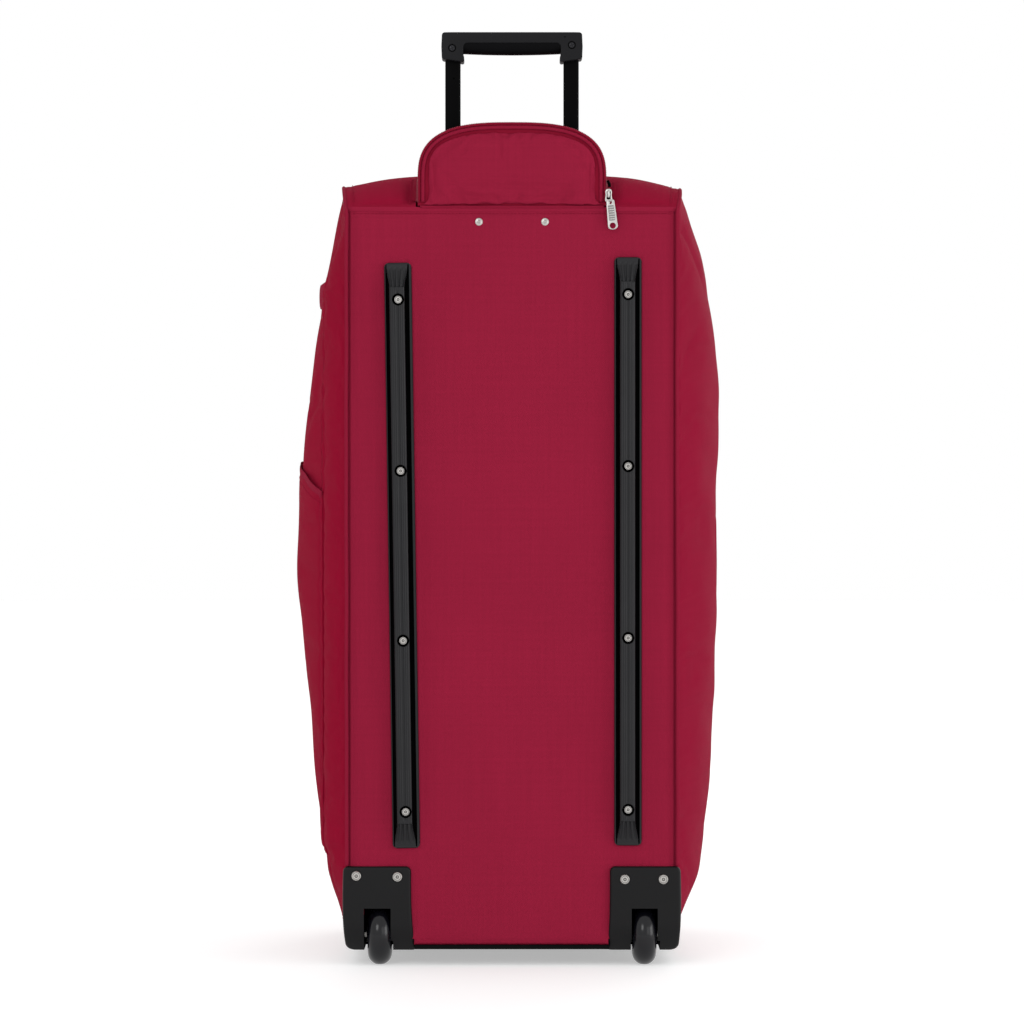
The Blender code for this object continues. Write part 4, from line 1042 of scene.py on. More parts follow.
def make_front():
    xs = spaced(-0.1565, 0.1565, 0.004, (-0.1560, 0.1560), 0.0008, 0.004)
    zs = spaced(BASE_Z, 0.7425, 0.004, (BASE_Z, 0.7420), 0.0008, 0.004)
    x, z = np.meshgrid(xs, zs)
    edge = np.minimum(np.minimum(0.1562 - np.abs(x), z - BASE_Z), 0.7425 - z)
    relief = 0.0006 * ripple(x, z, 0.07, 51) * step(edge, 0.0, 0.01) - 0.0014 * step(-edge, -0.0040, -0.0005)
    points = np.stack([x, np.full_like(x, FRONT_Y), z], -1)
    panel = cloth_panel("front_fabric", points, "bag", (RED, LINING), outward=-1, relief=relief,
                        replaces=("front_frame",))
    cut_with(panel, prism_cutter(lid_outline(ZIP_GAP)[::-1], FRONT_Y - 0.02, FRONT_Y + 0.02, "Y"))
    panel.data.shade_smooth()
    outline = round_trip(lid_outline(0.0075), 0.003)
    path = np.column_stack([outline[:, 0], np.full(len(outline), FRONT_Y + 0.0005), outline[:, 1]])
    flat = [(-0.0060, -0.0004), (0.0060, -0.0004), (0.0060, 0.0005), (-0.0060, 0.0005)]
    swept("mouth_zip_tape", path, (0, 1, 0), flat, "bag", TAPE, closed=True, crisp=30)
    outline = round_trip(lid_outline(0.0026), 0.0015)
    path = np.column_stack([outline[:, 0], np.full(len(outline), FRONT_Y + 0.0004), outline[:, 1]])
    teeth = box_unit(0.0009, 0.0022, 0.0014)
    repeated("mouth_zip_teeth", teeth, path, (0, 1, 0), 0.0018, "bag", TEETH, closed=True,
             crisp=30)
    outline = round_trip(lid_outline(0.0125), 0.003)
    path = np.column_stack([outline[:, 0], np.full(len(outline), FRONT_Y + 0.0009), outline[:, 1]])
    stitches("mouth_stitch", np.concatenate([path, path[:1]]), (0, 1, 0), "bag")
    brow = level_line(0.156, FRONT_Y + 0.0002, 0.7432, 80)
    swept("front_top_piping", brow, (0, 0.7, 0.7), circle(0.0018, 10), "bag", RED_PIPE)


LID_LIFT = {}


def lid_face(x, z):
    """Depth of the finished lid's outer face."""
    xs, zs, lift = LID_LIFT["xs"], LID_LIFT["zs"], LID_LIFT["lift"]
    i, j = np.clip(np.searchsorted(xs, x), 1, len(xs) - 1), np.clip(np.searchsorted(zs, z), 1, len(zs) - 1)
    return lid_y(x, z) + (lift[j - 1, i - 1] + lift[j, i - 1] + lift[j - 1, i] + lift[j, i]) / 4


def make_lid_fabric():
    """The lid as a grid across its width and height, trimmed to its rounded outline."""
    xs = spaced(-LID_HALF - 0.002, LID_HALF + 0.002, 0.0040, (-LID_HALF, LID_HALF), 0.0010, 0.006)
    zs = spaced(LID_LOW - 0.002, LID_HIGH + 0.002, 0.0040, (LID_LOW, LID_HIGH), 0.0010, 0.006)
    x, z = np.meshgrid(xs, zs)
    ox = np.maximum(0, np.abs(x) - (LID_HALF - LID_CORNER))
    oz = np.maximum(0, np.abs(z - (LID_LOW + LID_HIGH) / 2) - ((LID_HIGH - LID_LOW) / 2 - LID_CORNER))
    edge = LID_CORNER - np.hypot(ox, oz)
    points = np.stack([x, lid_y(x, z), z], -1)
    pinned = edge < 0.007
    relief = (0.0010 * ripple(x, z, 0.06, 61) + 0.0016 * ripple(x, z, 0.16, 63)) * step(edge, 0.008, 0.03)
    relief += creases(x, z, (-0.100, 0.640, -0.030, 0.560, 0.010, 0.0025),
                            (0.110, 0.520, 0.030, 0.580, 0.012, 0.0022))
    relief += soft_relief(points, -1, pinned, 3.0, 0.02, 0.006)
    relief -= 0.0024 * step(-edge, -0.0034, -0.0002) + 0.0008 * ridge(edge, 0.0075, 0.0010)
    LID_LIFT.update(xs=xs, zs=zs, lift=relief)
    lid = cloth_panel("lid_fabric", points, "lid", (RED, LINING), outward=-1, relief=relief,
                      thick=0.0036, replaces=("lid_panel",))
    cut_with(lid, prism_cutter(lid_outline()[::-1], 0.10, 0.20, "Y"), operation="INTERSECT")
    lid.data.shade_smooth()
    outline = round_trip(lid_outline(-0.0012), 0.003)
    rim = np.column_stack([outline[:, 0], np.full(len(outline), FRONT_Y + 0.0002), outline[:, 1]])
    swept("lid_piping", rim, (0, 1, 0), circle(0.0017, 10), "lid", RED_PIPE, closed=True)
    outline = round_trip(lid_outline(-0.0080), 0.003)
    rim = np.column_stack([outline[:, 0], lid_y(outline[:, 0], outline[:, 1]) + 0.0004, outline[:, 1]])
    stitches("lid_stitch", np.concatenate([rim, rim[:1]]), (0, 1, 0), "lid")
    return lid


def make_front_pocket():
    """The padded pocket on the lid, with a bound mouth and a seam round it."""
    low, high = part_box("front_pocket")
    half, z0, z1 = high.x, low.z, high.z
    outline = rounded_rect(half, (z1 - z0) / 2, 0.014, 5) + (0.0, (z0 + z1) / 2)
    face = FRONT_Y + LID_DOME - 0.002
    pocket = pillow("front_pocket_pad", outline, face - 0.010, face + 0.0085, 0.008, "lid", RED,
                    replaces=("front_pocket",))

    def onto_lid(p):
        shift = np.zeros_like(p)
        shift[:, 1] = lid_face(p[:, 0], p[:, 2]) - face
        return shift

    remesh(pocket, 0.005)
    press(pocket, onto_lid)
    pocket.data.materials.clear()
    pocket.data.materials.append(RED)
    plump(pocket, lambda p: p[:, 1] < lid_face(p[:, 0], p[:, 2]) + 0.001, 0.005, 5.0, 0.007, 0.05)

    def seams(p):
        edge = np.minimum(half - np.abs(p[:, 0]), np.minimum(p[:, 2] - z0, z1 - p[:, 2]))
        outside = step(p[:, 1] - lid_face(p[:, 0], p[:, 2]), 0.001, 0.004)
        hem = np.exp(-((p[:, 2] - (z1 - 0.024)) / 0.0020) ** 2)
        wave = ripple(p[:, 0], p[:, 2], 0.05, 71) * 0.0008 * step(edge, 0.01, 0.03)
        shift = np.zeros_like(p)
        shift[:, 1] = outside * (wave - 0.0012 * hem - 0.0010 * ridge(edge, 0.009, 0.0014))
        return shift

    press(pocket, seams)
    zs = level_line(half - 0.010, 0.0, z1 - 0.024, 60)
    top = surface_line(pocket, zs, 1)
    stitches("front_pocket_stitch", top, (0, 1, 0), "lid")
    edge = level_line(half - 0.012, 0.0, z1 - 0.0026, 60)
    bound = surface_line(pocket, edge, 1)
    bound[:, 1] -= 0.0006
    swept("front_pocket_binding", bound, (0, 1, 0), circle(0.0021, 10), "lid", RED_PIPE)
    return pocket


def surface_line(piece, line, facing, axis=1):
    """Drops each point of a line onto a piece's surface along an axis, from outside."""
    mesh = piece.data
    tree = BVHTree.FromPolygons([v.co for v in mesh.vertices], [p.vertices for p in mesh.polygons])
    found = {}
    for k, point in enumerate(line):
        start, towards = Vector(point), Vector((0, 0, 0))
        start[axis] = facing * 0.5
        towards[axis] = -facing
        hit = tree.ray_cast(start, towards, 1.0)[0]
        if hit is not None:
            found[k] = hit[axis]
    dropped = np.array(line, float)
    for k in range(len(dropped)):
        dropped[k, axis] = found[min(found, key=lambda known: abs(known - k))]
    return dropped


# ---------------------------------------------------------------- pockets and straps on the sides
def pocket_top(s):
    """Height of the side pocket's mouth, which sweeps up towards the front."""
    return 0.4640 + 0.0315 * np.sin(math.pi / 2 * np.clip((s - 0.13) / 0.40, 0, 1))


def make_side_pocket():
    ss = spaced(0.134, 0.608, 0.010, (0.134, 0.608), 0.0028, 0.012)
    vs = spaced(0.0, 1.0, 0.014, (0.0, 1.0), 0.004, 0.03)
    s, v = np.meshgrid(ss, vs)
    z = 0.105 + (pocket_top(s) - 0.105) * v
    y = y_at(s)
    across = np.clip((s - 0.134) / 0.474, 0, 1)
    edge = np.minimum(np.minimum(across, 1 - across) * 0.152, v * 0.37)
    lift = 0.0002 + 0.0006 * step(edge, 0.0, 0.012) + 0.0008 * np.sin(math.pi * across) * step(v, 0.1, 0.8)
    lift += (0.0003 * ripple(y, z, 0.06, 81) + 0.0004 * ripple(y, z, 0.12, 83)) * step(edge, 0.004, 0.02)
    lift -= 0.0008 * ridge(edge, 0.006, 0.0012)
    points = side_points(-1, s, z, 0.0008)
    pinned = (edge < 0.002)
    lift = lift + 0.5 * np.maximum(0, soft_relief(points, -1, pinned, 2.0, 0.01, 0.0020))
    piece = cloth_panel("side_pocket_fabric", points, "bag", (RED_SIDE_SHADED[-1], LINING), outward=-1,
                        thick=0.0016, relief=lift, replaces=("side_pocket",))
    tree_line = side_points(-1, ss, pocket_top(ss), 0.0)
    mouth = surface_line(piece, tree_line - (0, 0, 0.0020), -1, axis=0)
    swept("side_pocket_binding", resample(mouth, 0.004), (-1, 0, 0), circle(0.0046, 14, 0.18), "bag",
          RED_PIPE)
    line = side_points(-1, ss[2:-2], pocket_top(ss[2:-2]), 0.0)
    seam = surface_line(piece, line - (0, 0, 0.0115), -1, axis=0)
    stitches("side_pocket_stitch", seam, (-1, 0, 0), "bag")
    for k, s_row in enumerate((0.152, 0.589)):
        zs = np.linspace(0.116, 0.456, 70)
        seam = surface_line(piece, side_points(-1, np.full(70, s_row), zs), -1, axis=0)
        stitches(f"side_pocket_edge_{k}", seam, (-1, 0, 0), "bag")
    return piece


def make_grab_handle():
    """A short padded strap on the left side, its two ends sewn down and its middle bowed out."""
    y0, y1, z_mid = 0.016, 0.140, 0.672
    ys = np.linspace(y0, y1, 60)
    t = (ys - y0) / (y1 - y0)
    lift = 0.0046 + 0.0100 * np.sin(math.pi * np.clip((t - 0.12) / 0.76, 0, 1)) ** 1.2
    flush = side_x(-1, depth_of(ys), np.full(60, z_mid)) + lift_at(-1, depth_of(ys), np.full(60, z_mid))
    x = -(flush + lift)
    path = np.stack([x, ys, np.full(60, z_mid)], -1)

    def section(k):
        wide = 0.0165 - 0.0035 * math.sin(math.pi * min(1, max(0, (k - 0.12) / 0.76))) ** 2
        thick = 0.0012 + 0.0016 * math.sin(math.pi * min(1, max(0, (k - 0.15) / 0.70))) ** 2
        return np.stack([wide * np.cos(TURN16), thick * np.sign(np.sin(TURN16))
                         * np.abs(np.sin(TURN16)) ** 0.5], -1)

    strap = swept("side_grab_strap", path, (-1, 0, 0), section, "bag", RED,
                  replaces=("side_grab_handle",))
    for k, (a, b) in enumerate(((0.020, 0.032), (0.124, 0.136))):
        ring = [(a, z_mid - 0.011), (b, z_mid - 0.011), (b, z_mid + 0.011), (a, z_mid + 0.011),
                (a, z_mid - 0.011)]
        dense = resample(np.array([(0.0, y, z) for y, z in ring]), 0.003)
        stitches(f"side_grab_box_{k}", surface_line(strap, dense - (0.3, 0, 0), -1, axis=0), (-1, 0, 0),
                 "bag")
    return strap


def make_carry_handle(side, name):
    """A webbing loop lying back along the side, with a padded sleeve round its middle."""
    root_y, reach, low, high, half = 0.126, 0.068, 0.262, 0.512, 0.012
    t = np.linspace(0, 1, 110)
    sweep = np.minimum(1.0, 1.25 * np.sin(math.pi * t))
    y = root_y - reach * sweep ** 0.8
    z = low + (high - low) * t
    s = depth_of(y)
    x = side * (side_x(side, s, z) + lift_at(side, s, z) + 0.0066)
    path = resample(np.stack([x, y, z], -1), 0.0035)
    for _ in range(14):
        path[1:-1] = (path[:-2] + path[1:-1] * 2 + path[2:]) / 4
    y, z = path[:, 1], path[:, 2]
    d = 0.002
    slope_y = (side_x(side, depth_of(y + d), z) - side_x(side, depth_of(y - d), z)) / (2 * d)
    slope_z = (side_x(side, depth_of(y), z + d) - side_x(side, depth_of(y), z - d)) / (2 * d)
    up = np.stack([np.full_like(y, side), -slope_y, -slope_z], -1)
    body = f"side_carry_{name}"
    band = [(half, -0.0010), (half + 0.0004, 0.0), (half, 0.0010), (0.004, 0.0014), (-0.004, 0.0014),
            (-half, 0.0010), (-half - 0.0004, 0.0), (-half, -0.0010)]
    web = swept(f"carry_webbing_{name}", path, up, band, body, WEBBING, crisp=60,
                replaces=(f"carry_handle_{name}",))
    n = len(path)
    mid, mid_up = path[int(n * 0.30):int(n * 0.70)], up[int(n * 0.30):int(n * 0.70)]

    def sleeve(k):
        bulge = 1 + 0.12 * math.sin(math.pi * k)
        end = 0.82 + 0.18 * min(1.0, min(k, 1 - k) * 14)
        return np.stack([(half + 0.0016) * end * np.cos(TURN16),
                         0.0042 * end * bulge * np.sign(np.sin(TURN16)) * np.abs(np.sin(TURN16)) ** 0.6], -1)

    swept(f"carry_sleeve_{name}", mid, mid_up, sleeve, body, RED)
    for k, edge in enumerate((-0.0095, 0.0095)):
        _, across, _ = path_frames(path, up)
        unit_up = up / np.linalg.norm(up, axis=1, keepdims=True)
        line = path + across * edge + unit_up * 0.0011
        for end, (a, b) in enumerate(((2, int(n * 0.29)), (int(n * 0.71), n - 2))):
            repeated(f"carry_stitch_{name}_{k}_{end}", STITCH, line[a:b], unit_up[a:b], STITCH_PITCH, body,
                     THREAD)
    return web


# ---------------------------------------------------------------- hood flap
def make_flap():
    """The hood over the handle hatch: a zip tape, a piped rim, and a padded panel inside it."""
    outline = arch_outline(FLAP_HALF + 0.0003, FLAP_LOW + 0.0004, 0.772, FLAP_TOP - 0.0005)
    pillow("flap_back_layer", outline, FLAP_FRONT, FLAP_BACK + 0.0022, 0.0012, "flap", TAPE,
           replaces=("handle_flap",))

    def rim(by, y, pitch=0.003):
        ring = inset(outline, by)[1:-1]
        path = np.column_stack([ring[:, 0], np.full(len(ring), y), ring[:, 1]])
        return resample(path, pitch)

    teeth = rim(0.0006, FLAP_BACK + 0.0030, 0.0015)
    hood = np.column_stack([teeth[:, 0], np.zeros(len(teeth)), teeth[:, 2] - 0.76])
    hood /= np.linalg.norm(hood, axis=1, keepdims=True)
    repeated("flap_zip_teeth", box_unit(0.0009, 0.0030, 0.0013, -0.0004), teeth, hood, 0.0017, "flap",
             TEETH, crisp=30)
    swept("flap_outer_ridge", rim(0.0016, FLAP_BACK + 0.0020), (0, -1, 0), circle(0.0011, 10), "flap",
          TAPE)
    swept("flap_piping", rim(0.0052, FLAP_BACK + 0.0014), (0, -1, 0), circle(0.0018, 12, 0.9), "flap",
          RED_PIPE)
    stitches("flap_tape_stitch_0", rim(0.0031, FLAP_BACK + 0.0021), (0, -1, 0), "flap")
    inner = inset(arch_outline(FLAP_HALF + 0.0003, FLAP_LOW + 0.0004, 0.772, FLAP_TOP - 0.0005, 18), 0.0098)
    inner[inner[:, 1] < FLAP_LOW + 0.0120, 1] = FLAP_LOW + 0.0018
    pad = pillow("flap_pad", inner, FLAP_FRONT - 0.0012, FLAP_BACK - 0.0006, 0.0026, "flap",
                 RED)
    plump(pad, lambda p: p[:, 1] > FLAP_BACK + 0.0022, 0.0024, 4.0, 0.0030, 0.05)

    def wrinkles(p):
        x, z = p[:, 0], p[:, 2]
        facing = step(-p[:, 1], -(FLAP_BACK + 0.0035), -(FLAP_BACK + 0.0015))
        edge = np.minimum(FLAP_HALF - 0.010 - np.abs(x), FLAP_TOP - 0.010 - z)
        wave = 0.0007 * ripple(x, z, 0.030, 91) + 0.0008 * ripple(x, z, 0.065, 93)
        wave = wave * step(edge, 0.002, 0.016)
        wave += creases(x, z, (-0.012, 0.822, -0.011, 0.790, 0.0024, 0.0013),
                              (0.006, 0.823, 0.007, 0.805, 0.0022, 0.0010),
                              (-0.060, 0.770, 0.062, 0.764, 0.0035, 0.0016),
                              (-0.050, 0.757, 0.045, 0.7535, 0.0030, 0.0012),
                              (0.055, 0.800, 0.078, 0.775, 0.0040, 0.0012),
                              (-0.078, 0.790, -0.055, 0.765, 0.0040, 0.0010),
                              (-0.040, 0.812, -0.052, 0.795, 0.0030, 0.0010))
        shift = np.zeros_like(p)
        shift[:, 1] = -wave * facing
        return shift

    press(pad, wrinkles)
    low = np.column_stack([np.linspace(-0.0905, 0.0905, 60), np.full(60, FLAP_BACK + 0.0012),
                           np.full(60, FLAP_LOW - 0.0004)])
    swept("flap_hem", low, (0, -1, 0), circle(0.0015, 10), "flap", RED_PIPE)


def make_slider(name, x, y, z, facing, body):
    """A zip slider: a waisted body with a slit at its lower end and a bridge for the pull."""
    outline = np.array([(0.0034, -0.0062), (0.0036, -0.0035), (0.0030, 0.0000), (0.0034, 0.0030),
                        (0.0027, 0.0052), (0.0012, 0.0061), (-0.0012, 0.0061), (-0.0027, 0.0052),
                        (-0.0034, 0.0030), (-0.0030, 0.0), (-0.0036, -0.0035), (-0.0034, -0.0062),
                        (-0.0020, -0.0066), (0.0020, -0.0066)])[::-1]
    slider = pillow(name, outline + (x, z), y, y + facing * 0.0023, 0.0007, body, ZINC, steps=3)
    slit = box_cutter((x - 0.0004, min(y, y + facing * 0.003) - 0.001, z - 0.0080),
                      (x + 0.0004, max(y, y + facing * 0.003) + 0.001, z - 0.0040))
    cut_with(slider, slit)
    # The core under the bridge is painted shade.
    core = [(0.0020, -0.0042), (0.0019, 0.0000), (0.0021, 0.0036), (-0.0021, 0.0036), (-0.0019, 0.0),
            (-0.0020, -0.0042)]
    pillow(f"{name}_core", np.array(core) + (x, z), y + facing * 0.0010, y + facing * 0.0026, 0.0002, body,
           PAINTED_SHADE_BLACK, steps=2)
    arch = [(x, y + facing * 0.0018, z + 0.0044)]
    for k in range(9):
        angle = math.pi * k / 8
        arch.append((x, y + facing * (0.0020 + 0.0017 * math.sin(angle)),
                     z + 0.0034 * math.cos(angle) + 0.0010))
    arch.append((x, y + facing * 0.0018, z - 0.0025))
    swept(f"{name}_bridge", np.array(arch), (1, 0, 0), rounded_rect(0.0006, 0.0012, 0.0004, 2), body,
          ZINC)
    return slider


def make_pull(name, x, y, z, facing, body, lean=0.0, replaces=()):
    """A cast zip pull: a tapered tab with an oval slot, a round hole at its foot and raised ribs."""
    outline = []
    for cx, cz, r, a0, a1 in ((0.0, -0.0252, 0.0050, 180, 360), (0.0, -0.0010, 0.0041, 0, 180)):
        for k in range(13):
            angle = math.radians(a0 + (a1 - a0) * k / 12)
            squash = 0.72 if cz < -0.01 else 0.6
            outline.append((cx + r * math.cos(angle), cz + r * squash * math.sin(angle)))
    outline = np.array(outline)
    half = 0.00085
    pull = pillow(name, outline, half, -half, 0.0004, body, ZINC, steps=3, replaces=replaces)
    rim = resample(np.column_stack([inset(outline, 0.0006)[:, 0], np.full(len(outline), -half),
                                    inset(outline, 0.0006)[:, 1]]), 0.0012, True)
    frame_rim = swept(f"{name}_rim", rim, (0, -1, 0), circle(0.00045, 6), body, ZINC, closed=True)
    oval = [(0.0016 * math.cos(a), -0.0012 + 0.0024 * math.sin(a)) for a in TURN16]
    slot = [prism_cutter(oval, -0.01, 0.01, "Y"),
            rod_cutter((0, -0.01, -0.0247), (0, 0.01, -0.0247), 0.0030, 28)]
    cut_with(pull, *slot)
    field = rounded_rect(0.0029, 0.0076, 0.0010, 3) + (0.0, -0.0122)
    plate = pillow(f"{name}_field", field, -half + 0.0002, -half - 0.00008, 0.00005, body,
                   ZINC_DARK, steps=1)
    pieces = [pull, frame_rim, plate]
    for k in range(6):
        line = np.array([(x_at, -half, -0.0066 - 0.0023 * k) for x_at in (-0.0027, 0.0, 0.0027)])
        pieces.append(swept(f"{name}_rib_{k}", line, (0, -1, 0), circle(0.00050, 6), body, ZINC))
    face = 1.0 if facing < 0 else -1.0
    turn = Matrix.Translation((x, y, z)) @ Matrix.Rotation(lean, 4, "Y")
    if face < 0:
        turn = turn @ Matrix.Rotation(math.pi, 4, "Z")
    for piece in pieces:
        piece.data.transform(turn)
    return pull


def make_zips():
    low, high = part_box("flap_zip_slider")
    x, z = (low.x + high.x) / 2 - 0.0026, 0.7575
    make_slider("flap_slider_body", x, BACK_Y - 0.0006, z, -1, "bag")
    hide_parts("flap_zip_slider")
    # A short near-black tube at the slider's mouth, painted shade where the zip runs in.
    tunnel = np.array([(x + 0.0010, BACK_Y - 0.0006, 0.7655), (x + 0.0006, BACK_Y - 0.0010, 0.7685),
                       (x - 0.0006, BACK_Y + 0.0006, 0.7715)])
    swept("flap_zip_mouth", tunnel, (0, -1, 0), circle(0.0015, 10), "bag", PAINTED_SHADE_BLACK)
    stop = np.array([(x - 0.002, BACK_Y - 0.0012, 0.7500), (x + 0.0015, BACK_Y - 0.0014, 0.7497)])
    swept("flap_zip_stop", stop, (0, -1, 0), rounded_rect(0.0022, 0.0006, 0.0004, 2), "bag", ZINC)
    low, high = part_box("flap_zip_pull")
    make_pull("flap_pull_tab", 0.0964, (low.y + high.y) / 2, 0.7518, -1, "flap_pull", math.radians(-6),
              ("flap_zip_pull",))
    low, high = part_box("main_zip_slider")
    x, z = (low.x + high.x) / 2, 0.650
    make_slider("main_slider_body", x, FRONT_Y + 0.0004, z, 1, "zip_slider")
    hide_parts("main_zip_slider")
    low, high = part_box("main_zip_pull")
    make_pull("main_pull_tab", x, (low.y + high.y) / 2, z - 0.0082, 1, "zip_pull", 0.0, ("main_zip_pull",))


# ---------------------------------------------------------------- skids, housings and wheels
def closed_block(name, top, bottom, body, look, replaces=(), crisp=32):
    """A closed piece between two grids of points of the same size."""
    rows, cols = top.shape[:2]
    quads, rim = grid_faces(rows, cols)
    faces = np.concatenate([quads, rim, quads[:, ::-1] + rows * cols])
    verts = np.concatenate([top.reshape(-1, 3), bottom.reshape(-1, 3)])
    piece = add_piece(name, verts, faces.tolist(), body, look, replaces=replaces)
    fix_normals(piece)
    piece.data.set_sharp_from_angle(angle=math.radians(crisp))
    return piece


def skid_height(across, along, half_length):
    """Height of a skid above the fabric, over its plan, and whether each point is in a channel, where shade is
    painted.
    """
    from_edge = np.minimum(SKID_HALF - np.abs(across), half_length - np.abs(along))
    lip = 0.0026 - 0.0012 * step(-from_edge, -0.0007, 0.0)
    height = lip - 0.0019 * step(from_edge, 0.0017, 0.0024)
    from_end = half_length - np.abs(along)
    rise = step(from_end, 0.0010, 0.0235) * 0.82 + 0.18 * step(from_end, 0.0240, 0.0246)
    rib_half = 0.0077 + 0.0032 * step(-from_end, -0.0240, -0.0030)
    wall = step(-(np.abs(across) - rib_half), -0.0005, 0.0007)
    body = step(from_end, 0.0240, 0.0246)
    ridges = 0.00022 * np.cos(across / 0.0019 * 2 * math.pi) * body
    ramp = 0.00075 * np.cos(across / (rib_half * 0.5) * 2 * math.pi) * (1 - body)
    ramp = ramp * step(from_end, 0.004, 0.008)
    groove = -0.0008 * ridge(across, 0.0, 0.0010) * step(from_end, 0.026, 0.030)
    crown = -0.0010 * (across / rib_half) ** 6
    rib = 0.0024 + 0.0065 * rise + ridges + ramp + groove + crown * body
    height = height + (np.maximum(rib, height) - height) * wall * step(from_end, 0.0004, 0.0014)
    return height, (height < 0.0016) & (from_edge > 0.0019)


def make_skid(side, name):
    half_length = (SKID_ENDS[side][1] - SKID_ENDS[side][0]) / 2
    middle = sum(SKID_ENDS[side]) / 2
    rises = [z - middle for z in RIVET_Z[side]]
    marks = [sign * (half_length - at) for at in (0.0, 0.0045, 0.0200) for sign in (-1, 1)]
    rows = spaced(-half_length, half_length, 0.0028, (), 0.0006)
    extra = [np.arange(m - 0.0075, m + 0.0075, 0.00075) for m in marks]
    extra += [np.arange(r - 0.0066, r + 0.0066, 0.0006) for r in rises]
    extra = [e[(e > -half_length) & (e < half_length)] for e in extra]
    rows = np.unique(np.round(np.concatenate([rows] + extra), 5))
    cols = np.linspace(-1, 1, 66)
    corner = np.maximum(0, np.abs(rows) - (half_length - 0.005))
    half = SKID_HALF - 0.005 + np.sqrt(np.maximum(0.005 ** 2 - corner ** 2, 0.0004 ** 2))
    c, b = np.meshgrid(cols, rows)
    a = c * half[:, None]
    rib_shift = -0.0008 + 0.0003 * side
    h, channel = skid_height(a - rib_shift * step(SKID_HALF - np.abs(a), 0.0, 0.004), b, half_length)
    seat = 0.0050
    for rise in rises:
        far = np.hypot(a, b - rise)
        ring = step(far, 0.0054, 0.0058)
        channel = channel | ((far > 0.0042) & (far < 0.0058))
        h = h * ring + np.minimum(h, seat) * (1 - ring)
    turn = SKID_LEAN[side]
    x = SKID_X[side] + a * math.cos(turn) + b * math.sin(turn)
    z = middle + b * math.cos(turn) - a * math.sin(turn)
    back = BACK_Y - 0.0003
    top = np.stack([x, back - h, z], -1)
    bottom = np.stack([x, np.full_like(x, back + 0.0012), z], -1)
    rail = closed_block(f"skid_rail_{name}", top, bottom, "bag", RIB_BLACK,
                        replaces=(f"skid_{name}",))
    # The channels and the rings round the rivets get painted shade.
    rail.data.materials.append(PAINTED_SHADE_BLACK)
    corners = channel.astype(int)
    around = corners[:-1, :-1] + corners[:-1, 1:] + corners[1:, 1:] + corners[1:, :-1]
    dark = (around >= 2).ravel().astype(np.int32)
    index = np.zeros(len(rail.data.polygons), np.int32)
    index[:len(dark)] = dark
    rail.data.polygons.foreach_set("material_index", index)
    for k, rise in enumerate(rises, 1):
        centre = (SKID_X[side] + rise * math.sin(turn), back - seat, middle + rise * math.cos(turn))
        make_rivet(f"skid_rivet_head_{name}_{k}", centre, 0.0042, 0.0023, (f"skid_rivet_{name}_{k}",))


def make_rivet(name, centre, radius, height, replaces=()):
    """A tubular rivet head: a raised rim round a sunk ring and a small button in the middle."""
    outline = ((0.0, 0.66), (0.13, 0.66), (0.20, 0.40), (0.27, 0.40), (0.34, 0.74), (0.48, 0.70),
               (0.62, 0.72), (0.74, 0.98), (0.84, 1.00), (0.93, 0.84), (0.985, 0.52), (1.0, 0.15))
    profile = [(radius * r, height * h) for r, h in outline] + [(radius, -0.0008), (0.0, -0.0008)]
    rivet = turned(name, profile, centre, (0, -1, 0), "bag", NICKEL, sides=36,
                   replaces=replaces)
    # The sunk ring and the inner wall of the rim get painted shade.
    rivet.data.materials.append(NICKEL_SHADE)
    for patch in rivet.data.polygons:
        far = math.hypot(patch.center.x - centre[0], patch.center.z - centre[2]) / radius
        patch.material_index = int(0.17 < far < 0.34 or 0.62 < far < 0.72)
    return rivet


HOUSING_LOW, HOUSING_HIGH = 0.0146, 0.0977
HOUSING_EDGES = {       # inner edge at the top and how far it flares in, outer edge and how far it draws in
    -1: (0.0993, 0.0050, 0.1660, 0.0030),
    1: (0.0963, 0.0026, 0.1657, 0.0022),
}


def housing_grid(side):
    """A wheel housing's columns and rows from behind, with rounded corners, and each point's edge gap."""
    inner, flare, outer, draw = HOUSING_EDGES[side]
    edge = np.concatenate([np.linspace(0, 0.055, 9), np.linspace(0.055, 0.945, 26)[1:-1],
                           np.linspace(0.945, 1, 9)])
    z = np.concatenate([np.linspace(HOUSING_LOW, HOUSING_LOW + 0.008, 10),
                        np.linspace(HOUSING_LOW + 0.008, HOUSING_HIGH - 0.0055, 30)[1:],
                        np.linspace(HOUSING_HIGH - 0.0055, HOUSING_HIGH, 12)[1:]])
    sunk = 1 - (z - HOUSING_LOW) / (HOUSING_HIGH - HOUSING_LOW)
    low_edge = inner - flare * sunk ** 3.2
    high_edge = outer + 0.0006 * np.sin(math.pi * np.clip(sunk * 1.2, 0, 1)) - draw * sunk ** 6

    def corner(gap, radius):
        away = np.clip(radius - gap, 0, radius * 0.999)
        return radius - np.sqrt(radius ** 2 - away ** 2)

    low_edge = low_edge + corner(HOUSING_HIGH - z, 0.0052) + corner(z - HOUSING_LOW, 0.0020)
    high_edge = high_edge - corner(HOUSING_HIGH - z, 0.0052) - corner(z - HOUSING_LOW, 0.0062)
    c, rows = np.meshgrid(edge, z)
    x = low_edge[:, None] + (high_edge - low_edge)[:, None] * c
    gap = np.minimum(np.minimum(x - low_edge[:, None], high_edge[:, None] - x), HOUSING_HIGH - rows)
    return side * x, rows, gap


